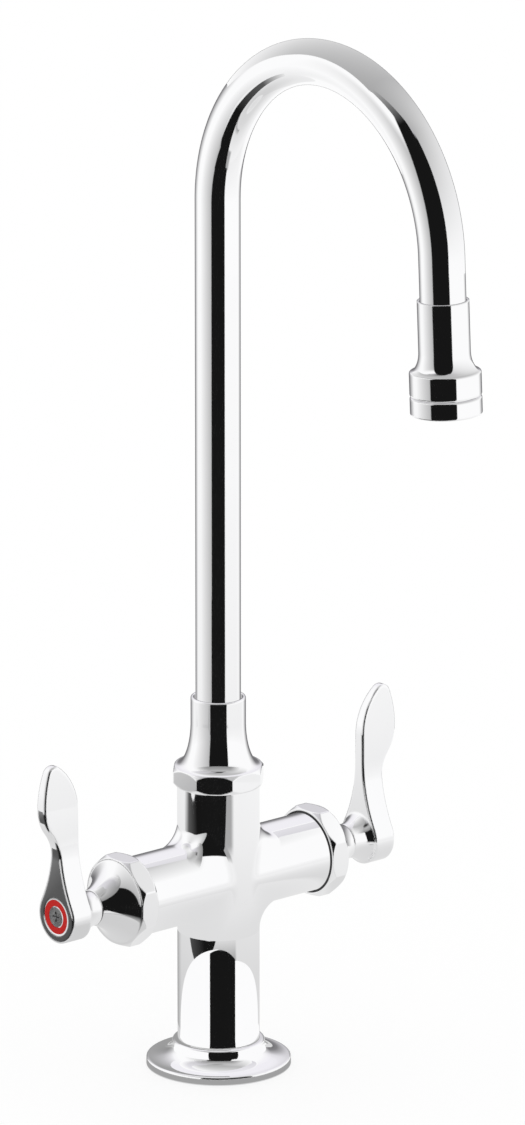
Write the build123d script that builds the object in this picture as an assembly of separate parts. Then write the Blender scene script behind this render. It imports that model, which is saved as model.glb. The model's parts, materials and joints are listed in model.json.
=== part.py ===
from build123d import *
import math
import os

# Gooseneck faucet with two lever valves. Millimetres, +Z up, origin on the deck under the column.
# X runs along the valve arms, hot at -X and cold at +X, and the spout points to -Y.

# Fits
SLIP = 0.05  # radial clearance between pieces fixed to one another
RUNNING = 0.05  # radial clearance of a turning fit
FACE_GAP = 0.1  # axial clearance between faces that turn on one another
SEAL_GAP = 0.02  # radial clearance left around a seated sealing ring

# Spout tube
TUBE_D = 19.05
TUBE_WALL = 1.2
BEND_RADIUS = 70.5  # of the tube's centreline
BEND_ANGLE = 177.0
BEND_RISE = 253.8  # from the column's top to the bend's centre
TAIL_LENGTH = 18.0  # straight tube between the bend and the outlet fitting

# Ferrule brazed to the tube's foot
FERRULE_WALL = 2.0
FERRULE_LENGTH = 24.0
FERRULE_STOP = 4.0  # lip under the tube's end
SHOULDER_STEP = 0.85  # how far the shoulder stands past the barrel
SHOULDER_THICKNESS = 2.2
SPOUT_RING_DEPTH = 1.3
SPOUT_RING_OFFSET = 6.0  # from the ferrule's foot to the lower ring
SPOUT_RING_PITCH = 7.0
BUSHING_THICKNESS = 1.6
BUSHING_TUBE_GAP = 0.4

# Body casting
NECK_WALL = 2.8  # around the spout socket
NECK_HEIGHT = 7.0
NECK_SHOULDER = 3.0  # from the neck out to the column
ARM_INSET = 0.6  # the arm's radius is this much less than the column's
ARM_AXIS_Z = 83.9
ARM_END_X = 48.0  # where the arm goes into the bonnet's collar
ARM_LAP = 2.0
COLUMN_RISE = 40.7  # from the arm axis to the column's top
JUNCTION_FILLET = 6.0
SOCKET_ROOM = 4.0  # under the ferrule
INLET_X = 8.5
INLET_THREAD_D = 9.0
INLET_THREAD_DEPTH = 12.0
INLET_BORE_D = 8.0
STUD_Y = 10.5
STUD_THREAD_D = 6.8
STUD_THREAD_DEPTH = 15.0
MIXING_BORE_D = 5.6
MIXING_X = 5.5  # where the mixing bore meets the socket's floor

# Base
FLANGE_D = 61.3
FLANGE_EDGE = 3.7
FLANGE_EDGE_ROUND = 0.8
FLANGE_LIP_WIDTH = 2.2
FLANGE_LIP_ROUND = 1.0
FLANGE_HEIGHT = 11.5
FOOT_STEP = 1.0  # the column's foot is turned down by this much for the flange
GASKET_THICKNESS = 1.5
GASKET_MARGIN = 4.6  # bare rim of the flange outside the gasket
GASKET_HOLE_GAP = 1.0

# Coupling nut
OCTAGON_OVERHANG = 1.1  # flats stand past the column by this much
OCTAGON_CHAMFER = 1.5
OCTAGON_CHAMFER_DROP = 1.8  # at the octagon's corners
NUT_OCTAGON_HEIGHT = 8.1
NUT_HEIGHT = 38.1
NUT_BELL_HEIGHT = 19.0
NUT_TUBE_GAP = 0.8
NUT_RIM_WALL = 1.3
NUT_RIM_ROUND = 0.6
BELL_INSET = 0.3  # the bell starts this far inside the flats

# Outlet fitting and aerator
SLEEVE_WALL = 1.1
SLEEVE_LENGTH = 21.4
TUBE_INSERT = 18.0
FLARE_LENGTH = 8.0
BAND_D = 29.6
BAND_LENGTH = 10.0
BAND_ROUND = 0.8
HOUSING_GAP = 0.5
HOUSING_LENGTH = 7.4
HOUSING_WALL = 2.0
HOUSING_LIP_WIDTH = 1.9
HOUSING_LIP_THICKNESS = 0.9
SPIGOT_LENGTH = 3.0
WASHER_THICKNESS = 1.2
WASHER_WIDTH = 3.2
SCREEN_THICKNESS = 0.4
SCREEN_HOLE_D = 1.1
STRAIGHTENER_HOLE_D = 1.9
HOLE_PITCH = 2.6
HOLE_RINGS = 3

# Valve cartridge, along the arm
CHAMBER_DEPTH = 26.0
CHAMBER_GAP = 1.3
PORT_D = 9.0
SEAL_THICKNESS = 2.5
SEAL_WIDTH = 3.0
DISC_D = 15.6
DISC_THICKNESS = 3.0
DISC_WINDOW_INNER_R = 3.0
DISC_WINDOW_OUTER_R = 6.4
DISC_WINDOW_ANGLE = 80.0
CARTRIDGE_WALL = 1.8
CARTRIDGE_FLANGE_STEP = 2.4
CARTRIDGE_FLANGE_THICKNESS = 2.0
CARTRIDGE_LAND_LENGTH = 4.5
CARTRIDGE_RING_DEPTH = 1.7
BARREL_LENGTH = 11.0
HEAD_WALL = 3.6
HEAD_LENGTH = 8.5
WINDOW_WIDTH = 6.0
STEM_D = 8.0
FOOT_WIDTH = 6.0
FOOT_THICKNESS = 2.85
FOOT_ROOM = 0.5  # above the stem's foot
TONGUE_WIDTH = 2.0
TONGUE_DEPTH = 1.2
STEM_RING_DEPTH = 1.0
STEM_RING_INSET = 8.0  # from the stem ring to the head's top
LUG_STEP = 2.4
LUG_ANGLE = 36.0
LUG_HEIGHT = 2.1
LUG_ROOM = 1.5  # degrees at each end of the lug's travel
VALVE_TRAVEL = 90.0
CLIP_THICKNESS = 0.8
CLIP_DEPTH = 0.8
CLIP_STEP = 1.6
CLIP_OPENING = 70.0
SQUARE_WIDTH = 6.0
SQUARE_START = 4.5  # from the clip to the stem's square
SCREW_D = 4.0
SCREW_LENGTH = 16.0

# Bonnet
BONNET_THREAD_DEPTH = 9.0
BONNET_OCTAGON_WIDTH = 8.7
BONNET_LENGTH = 21.4
BONNET_NECK_R = 7.6
BONNET_BELL_R = 24.0
BONNET_BELL_INSET = 0.9
COLLAR_GAP = 1.05  # around the arm's end, for the collar seal
COLLAR_SEAL_DEPTH = 0.3
BONNET_NECK_BORE_R = 6.2
BONNET_CLEARANCE = 0.4

# Lever handle
HANDLE_GAP = 0.2
SKIRT_LENGTH = 8.6
SKIRT_R = 7.4
SKIRT_FLARE_R = 13.0
SKIRT_INSET = 0.1
HUB_D = 23.0
HUB_WIDTH = 10.4
SOCKET_END_GAP = 0.4
WAIST_Z = 25.0  # heights of the lever are from the arm axis
BULGE_Z = 48.0
BULGE_X = 7.8  # past the hub's face
INNER_EDGE_Z = 46.0
TIP_Z = 68.3
TIP_X = 3.2  # past the hub's face
TIP_ROUND = 4.0
FLARE_TOP_Z = 34.0
BLADE_THICKNESS = 5.8
TIP_THICKNESS = 3.8
LEVER_EDGE_ROUND = 0.8
INDEX_OUTER_D = 14.8
INDEX_WIDTH = 2.75
INDEX_THICKNESS = 1.0
SCREW_HEAD_D = 8.6
SCREW_HEAD_THICKNESS = 2.4
RECESS_LENGTH = 4.6
RECESS_WIDTH = 0.9
RECESS_DEPTH = 1.3

# Radii that follow from the tube outwards
TUBE_R = TUBE_D / 2
TUBE_BORE_R = TUBE_R - TUBE_WALL
FERRULE_R = TUBE_R + FERRULE_WALL
SHOULDER_R = FERRULE_R + SHOULDER_STEP
SPOUT_SOCKET_R = FERRULE_R + RUNNING
NECK_R = SPOUT_SOCKET_R + NECK_WALL
COLUMN_R = NECK_R + NECK_SHOULDER
ARM_R = COLUMN_R - ARM_INSET
FLAT_R = COLUMN_R + OCTAGON_OVERHANG
CORNER_R = FLAT_R / math.cos(math.pi / 8)
FOOT_R = COLUMN_R - FOOT_STEP

# Heights up the column
COLUMN_TOP_Z = ARM_AXIS_Z + COLUMN_RISE
NECK_TOP_Z = COLUMN_TOP_Z + NECK_HEIGHT
SHOULDER_Z = NECK_TOP_Z + FACE_GAP
SHOULDER_TOP_Z = SHOULDER_Z + SHOULDER_THICKNESS
BUSHING_Z = SHOULDER_TOP_Z + FACE_GAP
NUT_CEILING_Z = BUSHING_Z + BUSHING_THICKNESS
FERRULE_FOOT_Z = SHOULDER_Z - FERRULE_LENGTH
SOCKET_FLOOR_Z = FERRULE_FOOT_Z - SOCKET_ROOM
BEND_Z = COLUMN_TOP_Z + BEND_RISE

# Radii and places along the valve's axis
STEM_R = STEM_D / 2
DISC_R = DISC_D / 2
CAVITY_R = DISC_R + SLIP
BARREL_R = CAVITY_R + CARTRIDGE_WALL
CHAMBER_R = BARREL_R + CHAMBER_GAP
LAND_R = CHAMBER_R - SLIP
THREAD_R = CHAMBER_R + CARTRIDGE_FLANGE_STEP
STEM_BORE_R = STEM_R + RUNNING
HEAD_R = STEM_BORE_R + HEAD_WALL
ARM_FACE_X = ARM_END_X + ARM_LAP
COLLAR_R = ARM_R + COLLAR_GAP
SEAT_X = ARM_END_X - CHAMBER_DEPTH
LOWER_DISC_X = SEAT_X + SEAL_THICKNESS
UPPER_DISC_X = LOWER_DISC_X + DISC_THICKNESS + FACE_GAP / 2
FOOT_X = UPPER_DISC_X + DISC_THICKNESS + FACE_GAP
FOOT_END_X = FOOT_X + FOOT_THICKNESS
CAVITY_END_X = FOOT_END_X + FOOT_ROOM
FLANGE_X = ARM_END_X - BONNET_THREAD_DEPTH
LAND_X = FLANGE_X - CARTRIDGE_LAND_LENGTH
SPIGOT_X = FLANGE_X + CARTRIDGE_FLANGE_THICKNESS
HEAD_X = SPIGOT_X + BARREL_LENGTH
HEAD_END_X = HEAD_X + HEAD_LENGTH
LUG_X = HEAD_END_X - LUG_HEIGHT
CLIP_X = HEAD_END_X + FACE_GAP
CLIP_END_X = CLIP_X + CLIP_THICKNESS
SQUARE_X = CLIP_END_X + SQUARE_START
BONNET_END_X = ARM_END_X + BONNET_LENGTH
SKIRT_X = BONNET_END_X + HANDLE_GAP
HUB_X = SKIRT_X + SKIRT_LENGTH
HUB_FACE_X = HUB_X + HUB_WIDTH
HUB_R = HUB_D / 2
SCREW_SEAT_X = HUB_FACE_X - SCREW_HEAD_THICKNESS
SCREW_R = SCREW_D / 2
SCREW_END_X = SCREW_SEAT_X - SCREW_LENGTH
STEM_END_X = SCREW_SEAT_X - SCREW_HEAD_THICKNESS - SCREW_R

# Places along the outlet, from the fitting's upper end
BAND_R = BAND_D / 2
SLEEVE_BORE_R = TUBE_R + SLIP
SLEEVE_R = SLEEVE_BORE_R + SLEEVE_WALL
FLARE_S = SLEEVE_LENGTH
BAND_S = FLARE_S + FLARE_LENGTH
BAND_END_S = BAND_S + BAND_LENGTH
SPIGOT_END_S = BAND_END_S + SPIGOT_LENGTH
HOUSING_S = BAND_END_S + HOUSING_GAP
HOUSING_END_S = HOUSING_S + HOUSING_LENGTH
HOUSING_BORE_R = BAND_R - HOUSING_WALL
WASHER_END_S = SPIGOT_END_S + WASHER_THICKNESS
SCREEN_END_S = WASHER_END_S + SCREEN_THICKNESS
HOUSING_LIP_S = HOUSING_END_S - HOUSING_LIP_THICKNESS
INSERT_R = HOUSING_BORE_R - SLIP

# Angles in the valve's own frame: 180 is up and 270 is to the front
LEVER_UP = 180.0


def rod(radius, start, end):
    """A cylinder on the Z axis between two heights."""
    blank = Cylinder(radius, end - start, align=(Align.CENTER, Align.CENTER, Align.MIN))
    return Pos(0, 0, start) * blank


def ring(outer, inner, start, end):
    """A plain ring on the Z axis between two heights."""
    return rod(outer, start, end) - rod(inner, start, end)


def rod_between(radius, start, end):
    """A cylinder from one point to another."""
    span = Vector(*end) - Vector(*start)
    blank = Cylinder(radius, span.length, align=(Align.CENTER, Align.CENTER, Align.MIN))
    return Plane(origin=start, z_dir=span) * blank


def face_of(*curves):
    """The face inside a closed outline."""
    return make_face([edge for curve in curves for edge in curve.edges()])


def turned(*curves):
    """A solid turned about Z from a closed outline of radius and height."""
    return revolve(Plane.XZ * face_of(*curves), Axis.Z)


def sector(outer, inner, middle, width, start, end):
    """A slice of a ring on the Z axis, its middle direction and its width in degrees."""
    outer_arc = CenterArc((0, 0), outer, middle - width / 2, width)
    inner_arc = CenterArc((0, 0), inner, middle - width / 2, width)
    first_side = Line(inner_arc @ 0, outer_arc @ 0)
    last_side = Line(inner_arc @ 1, outer_arc @ 1)
    return Pos(0, 0, start) * extrude(face_of(outer_arc, inner_arc, first_side, last_side), end - start)


def octagon(start, end):
    """An octagonal prism on Z with its ends chamfered to a cone."""
    flats = RegularPolygon(FLAT_R, 8, major_radius=False, rotation=180 / 8)
    prism = Pos(0, 0, start) * extrude(flats, end - start)
    outline = Polyline(
        (0, start),
        (CORNER_R - OCTAGON_CHAMFER, start),
        (CORNER_R, start + OCTAGON_CHAMFER_DROP),
        (CORNER_R, end - OCTAGON_CHAMFER_DROP),
        (CORNER_R - OCTAGON_CHAMFER, end),
        (0, end),
        close=True,
    )
    return prism & turned(outline)


def concave_bell(wide_r, narrow_r, start, length, end):
    """A solid whose radius falls along a quarter ellipse, then stays narrow to its end."""
    turn = start + length
    hollow = EllipticalCenterArc((wide_r, turn), wide_r - narrow_r, length, 180, arc_size=90)
    frame = Polyline((wide_r, start), (0, start), (0, end), (narrow_r, end), (narrow_r, turn))
    return turned(hollow, frame)


def on_arm(piece):
    """Moves a piece made along Z onto the cold arm's axis."""
    return Pos(0, 0, ARM_AXIS_Z) * Rot(0, 90, 0) * piece


def at_outlet(piece):
    """Moves a piece made along Z onto the outlet's axis."""
    return OUTLET_PLANE * piece


def body_casting():
    column = rod(COLUMN_R, GASKET_THICKNESS, COLUMN_TOP_Z)
    arms = on_arm(rod(ARM_R, -ARM_FACE_X, ARM_FACE_X))
    blank = column + arms
    plain = (GeomType.CIRCLE, GeomType.LINE)
    blank = fillet([edge for edge in blank.edges() if edge.geom_type not in plain], JUNCTION_FILLET)
    blank += rod(NECK_R, COLUMN_TOP_Z, NECK_TOP_Z)
    blank -= ring(COLUMN_R * 2, FOOT_R, GASKET_THICKNESS, FLANGE_HEIGHT)
    blank -= rod(SPOUT_SOCKET_R, SOCKET_FLOOR_Z, NECK_TOP_Z)
    for sign in (-1, 1):
        blank -= Pos(sign * INLET_X) * rod(INLET_BORE_D / 2, GASKET_THICKNESS, ARM_AXIS_Z)
        thread_end = GASKET_THICKNESS + INLET_THREAD_DEPTH
        blank -= Pos(sign * INLET_X) * rod(INLET_THREAD_D / 2, GASKET_THICKNESS, thread_end)
        thread_end = GASKET_THICKNESS + STUD_THREAD_DEPTH
        blank -= Pos(0, sign * STUD_Y) * rod(STUD_THREAD_D / 2, GASKET_THICKNESS, thread_end)
        valve = rod(PORT_D / 2, INLET_X, SEAT_X) + rod(CHAMBER_R, SEAT_X, FLANGE_X)
        valve += rod(THREAD_R, FLANGE_X, ARM_FACE_X)
        blank -= sided(on_arm(valve), sign)
        upper = (sign * MIXING_X, 0, SOCKET_FLOOR_Z + MIXING_BORE_D / 2)
        lower = (sign * (SEAT_X + MIXING_BORE_D), 0, ARM_AXIS_Z + CHAMBER_R - MIXING_BORE_D / 2)
        blank -= rod_between(MIXING_BORE_D / 2, upper, lower)
    return blank


def base_flange():
    edge_r = FLANGE_D / 2
    cove_r = edge_r - FLANGE_EDGE_ROUND
    lip_r = COLUMN_R + FLANGE_LIP_WIDTH
    cove_top = FLANGE_HEIGHT - FLANGE_LIP_ROUND
    cove = EllipticalCenterArc((cove_r, cove_top), cove_r - lip_r, cove_top - FLANGE_EDGE, 180, arc_size=90)
    edge_round = RadiusArc(
        (cove_r, FLANGE_EDGE), (edge_r, FLANGE_EDGE - FLANGE_EDGE_ROUND), FLANGE_EDGE_ROUND
    )
    lip_round = RadiusArc(
        (lip_r - FLANGE_LIP_ROUND, FLANGE_HEIGHT), (lip_r, cove_top), FLANGE_LIP_ROUND
    )
    bore_r = FOOT_R + SLIP
    recess_r = edge_r - GASKET_MARGIN + SLIP
    frame = Polyline(
        (edge_r, FLANGE_EDGE - FLANGE_EDGE_ROUND),
        (edge_r, 0),
        (recess_r, 0),
        (recess_r, GASKET_THICKNESS),
        (bore_r, GASKET_THICKNESS),
        (bore_r, FLANGE_HEIGHT),
        (lip_r - FLANGE_LIP_ROUND, FLANGE_HEIGHT),
    )
    return turned(cove, edge_round, lip_round, frame)


def base_gasket():
    sheet = rod(FLANGE_D / 2 - GASKET_MARGIN, 0, GASKET_THICKNESS)
    for sign in (-1, 1):
        sheet -= Pos(sign * INLET_X) * rod(INLET_THREAD_D / 2 + GASKET_HOLE_GAP, 0, GASKET_THICKNESS)
        sheet -= Pos(0, sign * STUD_Y) * rod(STUD_THREAD_D / 2 + GASKET_HOLE_GAP, 0, GASKET_THICKNESS)
    return sheet


def coupling_nut():
    octagon_top = COLUMN_TOP_Z + NUT_OCTAGON_HEIGHT
    nut_top = COLUMN_TOP_Z + NUT_HEIGHT
    bore_r = TUBE_R + NUT_TUBE_GAP
    rim_r = bore_r + NUT_RIM_WALL
    bell = concave_bell(FLAT_R - BELL_INSET, rim_r, octagon_top, NUT_BELL_HEIGHT, nut_top)
    rim_edges = bell.edges().filter_by(GeomType.CIRCLE).group_by(Axis.Z)[-1]
    nut = octagon(COLUMN_TOP_Z, octagon_top) + fillet(rim_edges, NUT_RIM_ROUND)
    nut -= rod(NECK_R + SLIP, COLUMN_TOP_Z, NECK_TOP_Z + FACE_GAP)
    nut -= rod(SHOULDER_R + BUSHING_TUBE_GAP, COLUMN_TOP_Z, NUT_CEILING_Z)
    return nut - rod(bore_r, COLUMN_TOP_Z, nut_top)


def swivel_bushing():
    return ring(SHOULDER_R, TUBE_R + BUSHING_TUBE_GAP, BUSHING_Z, NUT_CEILING_Z)


def gooseneck_tube(path):
    start = Plane(origin=path @ 0, z_dir=path % 0)
    section = start * (Circle(TUBE_R) - Circle(TUBE_BORE_R))
    return sweep(section, path)


def spout_ring_heights():
    lower = FERRULE_FOOT_Z + SPOUT_RING_OFFSET
    return (lower, lower + SPOUT_RING_PITCH)


def sealing_ring(wall_r, floor_r, height):
    """A round ring between a groove's floor and the wall that it seals on."""
    section_r = (wall_r - floor_r) / 2 - SEAL_GAP
    return Pos(0, 0, height) * Torus((wall_r + floor_r) / 2, section_r)


def ring_groove(outer_r, floor_r, height):
    """The groove of a sealing ring, a little wider than the ring."""
    half_width = (outer_r - floor_r) / 2 + 2 * FACE_GAP
    return ring(outer_r + FACE_GAP, floor_r, height - half_width, height + half_width)


def spout_ferrule():
    ferrule = rod(FERRULE_R, FERRULE_FOOT_Z, SHOULDER_Z) + rod(SHOULDER_R, SHOULDER_Z, SHOULDER_TOP_Z)
    ferrule -= rod(TUBE_BORE_R, FERRULE_FOOT_Z, SHOULDER_TOP_Z)
    ferrule -= rod(TUBE_R + SLIP, FERRULE_FOOT_Z + FERRULE_STOP, SHOULDER_TOP_Z)
    for height in spout_ring_heights():
        ferrule -= ring_groove(FERRULE_R, FERRULE_R - SPOUT_RING_DEPTH, height)
    return ferrule


def spout_o_rings():
    floor_r = FERRULE_R - SPOUT_RING_DEPTH
    return Compound([sealing_ring(SPOUT_SOCKET_R, floor_r, height).solid() for height in spout_ring_heights()])


def outlet_fitting():
    flare = EllipticalCenterArc((BAND_R, FLARE_S), BAND_R - SLEEVE_R, FLARE_LENGTH, 90, arc_size=90)
    frame = Polyline(
        (SLEEVE_R, FLARE_S),
        (SLEEVE_R, 0),
        (0, 0),
        (0, BAND_END_S),
        (BAND_R, BAND_END_S),
        (BAND_R, BAND_S),
    )
    blank = turned(flare, frame)
    rims = [edge for edge in blank.edges().filter_by(GeomType.CIRCLE) if edge.radius > BAND_R - SLIP]
    blank = fillet(rims, BAND_ROUND)
    blank += rod(HOUSING_BORE_R - SLIP, BAND_END_S, SPIGOT_END_S)
    blank -= rod(TUBE_BORE_R, 0, SPIGOT_END_S)
    return at_outlet(blank - rod(SLEEVE_BORE_R, 0, TUBE_INSERT))


def aerator_housing():
    shell = fillet(rod(BAND_R, HOUSING_S, HOUSING_END_S).edges().filter_by(GeomType.CIRCLE), BAND_ROUND)
    shell -= rod(HOUSING_BORE_R, HOUSING_S, HOUSING_LIP_S)
    return at_outlet(shell - rod(HOUSING_BORE_R - HOUSING_LIP_WIDTH, HOUSING_S, HOUSING_END_S))


def aerator_washer():
    return at_outlet(ring(INSERT_R, INSERT_R - WASHER_WIDTH, SPIGOT_END_S, WASHER_END_S))


def pierced_disc(hole_d, start, end):
    """A disc of the aerator with rings of holes, six more in each ring."""
    holes = [Location((0, 0, 0))]
    for turn in range(1, HOLE_RINGS + 1):
        holes += PolarLocations(turn * HOLE_PITCH, 6 * turn).locations
    drill = rod(hole_d / 2, start, end)
    return at_outlet(rod(INSERT_R, start, end) - [place * drill for place in holes])


def bonnet():
    octagon_end = ARM_END_X + BONNET_OCTAGON_WIDTH
    foot = (FLAT_R - BONNET_BELL_INSET, octagon_end)
    tip = (BONNET_NECK_R, BONNET_END_X)
    hollow = RadiusArc(foot, tip, BONNET_BELL_R)
    piece = octagon(ARM_END_X, octagon_end)
    piece += turned(hollow, Polyline(tip, (0, BONNET_END_X), (0, octagon_end), foot))
    piece -= rod(COLLAR_R, ARM_END_X, ARM_FACE_X)
    piece += rod(THREAD_R - SLIP, SPIGOT_X, ARM_FACE_X)
    piece -= rod(BARREL_R + BONNET_CLEARANCE, SPIGOT_X, HEAD_X + BONNET_CLEARANCE)
    piece -= rod(HEAD_R + BONNET_CLEARANCE, SPIGOT_X, CLIP_X)
    return on_arm(piece - rod(BONNET_NECK_BORE_R, SPIGOT_X, BONNET_END_X))


def collar_seal():
    start = ARM_END_X + COLLAR_SEAL_DEPTH
    return on_arm(ring(COLLAR_R - SLIP, ARM_R + SLIP, start, ARM_FACE_X - SLIP))


def cartridge_ring_x():
    return LAND_X + CARTRIDGE_LAND_LENGTH / 2


def cartridge_body():
    piece = rod(BARREL_R, LOWER_DISC_X, HEAD_X) + rod(HEAD_R, HEAD_X, HEAD_END_X)
    piece += rod(LAND_R, LAND_X, FLANGE_X) + rod(THREAD_R - SLIP, FLANGE_X, SPIGOT_X)
    piece -= ring_groove(LAND_R, CHAMBER_R - CARTRIDGE_RING_DEPTH, cartridge_ring_x())
    piece -= rod(CAVITY_R, LOWER_DISC_X, CAVITY_END_X) + rod(STEM_BORE_R, CAVITY_END_X, HEAD_END_X)
    window = Pos(0, 0, (FOOT_X + FOOT_END_X) / 2)
    piece -= window * Box(4 * BARREL_R, WINDOW_WIDTH, FOOT_THICKNESS)
    piece -= window * Box(WINDOW_WIDTH, 4 * BARREL_R, FOOT_THICKNESS)
    lug_r = STEM_R + LUG_STEP + BONNET_CLEARANCE
    travel_middle = LEVER_UP + VALVE_TRAVEL / 2
    travel_width = VALVE_TRAVEL + LUG_ANGLE + 2 * LUG_ROOM
    piece -= sector(lug_r, STEM_R / 2, travel_middle, travel_width, LUG_X - FACE_GAP, HEAD_END_X)
    return on_arm(piece)


def cartridge_o_ring():
    return on_arm(sealing_ring(CHAMBER_R, CHAMBER_R - CARTRIDGE_RING_DEPTH, cartridge_ring_x()))


def seat_seal():
    return on_arm(ring(PORT_D / 2 + SEAL_WIDTH, PORT_D / 2, SEAT_X, LOWER_DISC_X))


def ceramic_disc(start, windows_at):
    """A polished disc with two opposite windows."""
    end = start + DISC_THICKNESS
    disc = rod(DISC_R - SLIP, start, end)
    for middle in (windows_at, windows_at + 180):
        disc -= sector(DISC_WINDOW_OUTER_R, DISC_WINDOW_INNER_R, middle, DISC_WINDOW_ANGLE, start, end)
    return disc


def lower_disc():
    return on_arm(ceramic_disc(LOWER_DISC_X, LEVER_UP + VALVE_TRAVEL))


def tongue(width, depth):
    """The tongue under the stem's foot, which turns the upper disc."""
    return Pos(0, 0, FOOT_X - depth / 2) * Box(2 * CAVITY_R, width, depth)


def upper_disc():
    groove = tongue(TONGUE_WIDTH + 2 * SLIP, TONGUE_DEPTH + FACE_GAP)
    return on_arm(ceramic_disc(UPPER_DISC_X, LEVER_UP) - groove)


def stem_ring_x():
    return HEAD_END_X - STEM_RING_INSET


def stem():
    foot = Pos(0, 0, (FOOT_X + FOOT_END_X) / 2) * Box(2 * CAVITY_R, FOOT_WIDTH, FOOT_THICKNESS)
    foot += tongue(TONGUE_WIDTH, TONGUE_DEPTH)
    piece = foot & rod(DISC_R - RUNNING, UPPER_DISC_X, FOOT_END_X)
    piece += rod(STEM_R, FOOT_END_X, SQUARE_X)
    square = Pos(0, 0, SQUARE_X) * extrude(Rectangle(SQUARE_WIDTH, SQUARE_WIDTH), STEM_END_X - SQUARE_X)
    piece += square
    piece += sector(STEM_R + LUG_STEP, STEM_R / 2, LEVER_UP, LUG_ANGLE, LUG_X, HEAD_END_X)
    piece -= ring_groove(STEM_R, STEM_R - STEM_RING_DEPTH, stem_ring_x())
    piece -= ring(STEM_D, STEM_R - CLIP_DEPTH, CLIP_X, CLIP_END_X)
    return on_arm(piece - rod(SCREW_R + SLIP, SCREW_END_X - SCREW_R, STEM_END_X))


def stem_o_ring():
    return on_arm(sealing_ring(STEM_BORE_R, STEM_R - STEM_RING_DEPTH, stem_ring_x()))


def retaining_clip():
    inner_r = STEM_R - CLIP_DEPTH + SLIP
    clip = sector(STEM_R + CLIP_STEP, inner_r, LEVER_UP, 360 - CLIP_OPENING, CLIP_X, CLIP_END_X)
    return on_arm(clip)


def lever_front():
    """The lever seen from the front: hub, waist, bulge, rounded tip and straight inner edge."""
    bottom = -HUB_D
    waist = (HUB_FACE_X, WAIST_Z)
    bulge = (HUB_FACE_X + BULGE_X, BULGE_Z)
    turn = ((waist[0] + bulge[0]) / 2, (waist[1] + bulge[1]) / 2)
    tip = (HUB_FACE_X + TIP_X, TIP_Z)
    inner = (HUB_X, INNER_EDGE_Z)
    swell = TangentArc(waist, turn, tangent=(0, 1))
    crown = TangentArc(turn, bulge, tangent=swell % 1)
    outer_side = TangentArc(bulge, tip, tangent=(0, 1))
    inner_side = TangentArc(inner, tip, tangent=(0, 1))
    frame = Polyline(inner, (HUB_X, bottom), (HUB_FACE_X, bottom), waist)
    outline = face_of(swell, crown, outer_side, inner_side, frame)
    corner = outline.vertices().sort_by(Axis.Y)[-1]
    return fillet(corner, TIP_ROUND)


def lever_side():
    """The lever seen along the arm: round hub that flares into the thin blade."""
    half = BLADE_THICKNESS / 2
    flare_r = (FLARE_TOP_Z**2 + half**2 - HUB_R**2) / (2 * (HUB_R - half))
    share = HUB_R / (HUB_R + flare_r)
    meet = ((half + flare_r) * share, FLARE_TOP_Z * share)
    flare = TangentArc(meet, (half, FLARE_TOP_Z), tangent=(-meet[1], meet[0]))
    blade = TangentArc((half, FLARE_TOP_Z), (TIP_THICKNESS / 2, TIP_Z), tangent=(0, 1))
    hub = ThreePointArc((-meet[0], meet[1]), (0, -HUB_R), meet)
    right = [*flare.edges(), *blade.edges()]
    left = [edge.mirror(Plane.YZ) for edge in right]
    top = Line((-TIP_THICKNESS / 2, TIP_Z), (TIP_THICKNESS / 2, TIP_Z))
    return make_face([*hub.edges(), *right, *left, *top.edges()])


def lever():
    reach = HUB_FACE_X + 2 * BULGE_X
    front = extrude(Plane.XZ * lever_front(), HUB_D, both=True)
    side = Pos(HUB_X) * extrude(Plane.YZ * lever_side(), reach - HUB_X)
    blade = Pos(0, 0, ARM_AXIS_Z) * (front & side)
    blade = fillet(blade.edges().filter_by(lambda edge: edge.length > LEVER_EDGE_ROUND), LEVER_EDGE_ROUND)
    skirt_top = HUB_R - LEVER_EDGE_ROUND - SKIRT_INSET
    flare = RadiusArc((SKIRT_R, SKIRT_X), (skirt_top, HUB_X), SKIRT_FLARE_R)
    frame = Polyline((SKIRT_R, SKIRT_X), (0, SKIRT_X), (0, HUB_X), (skirt_top, HUB_X))
    piece = blade + on_arm(turned(flare, frame))
    square = SQUARE_WIDTH + 2 * SLIP
    socket = extrude(Rectangle(square, square), STEM_END_X + SOCKET_END_GAP - SKIRT_X)
    cuts = Pos(0, 0, SKIRT_X) * socket + rod(SCREW_R + SLIP, SKIRT_X, HUB_FACE_X)
    cuts += rod(SCREW_HEAD_D / 2 + SLIP, SCREW_SEAT_X, HUB_FACE_X)
    cuts += rod(INDEX_OUTER_D / 2 + SLIP, HUB_FACE_X - INDEX_THICKNESS, HUB_FACE_X)
    return piece - on_arm(cuts)


def index_ring():
    outer = INDEX_OUTER_D / 2
    return on_arm(ring(outer, outer - INDEX_WIDTH, HUB_FACE_X - INDEX_THICKNESS, HUB_FACE_X))


def handle_screw():
    piece = rod(SCREW_HEAD_D / 2, SCREW_SEAT_X, HUB_FACE_X) + rod(SCREW_R, SCREW_END_X, SCREW_SEAT_X)
    slot = Pos(0, 0, HUB_FACE_X - RECESS_DEPTH / 2)
    piece -= slot * Box(RECESS_LENGTH, RECESS_WIDTH, RECESS_DEPTH)
    return on_arm(piece - slot * Box(RECESS_WIDTH, RECESS_LENGTH, RECESS_DEPTH))


def sided(piece, sign):
    """A piece made for the cold arm, mirrored for the hot arm."""
    if sign > 0:
        return piece
    return mirror(piece, about=Plane.YZ)


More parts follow.
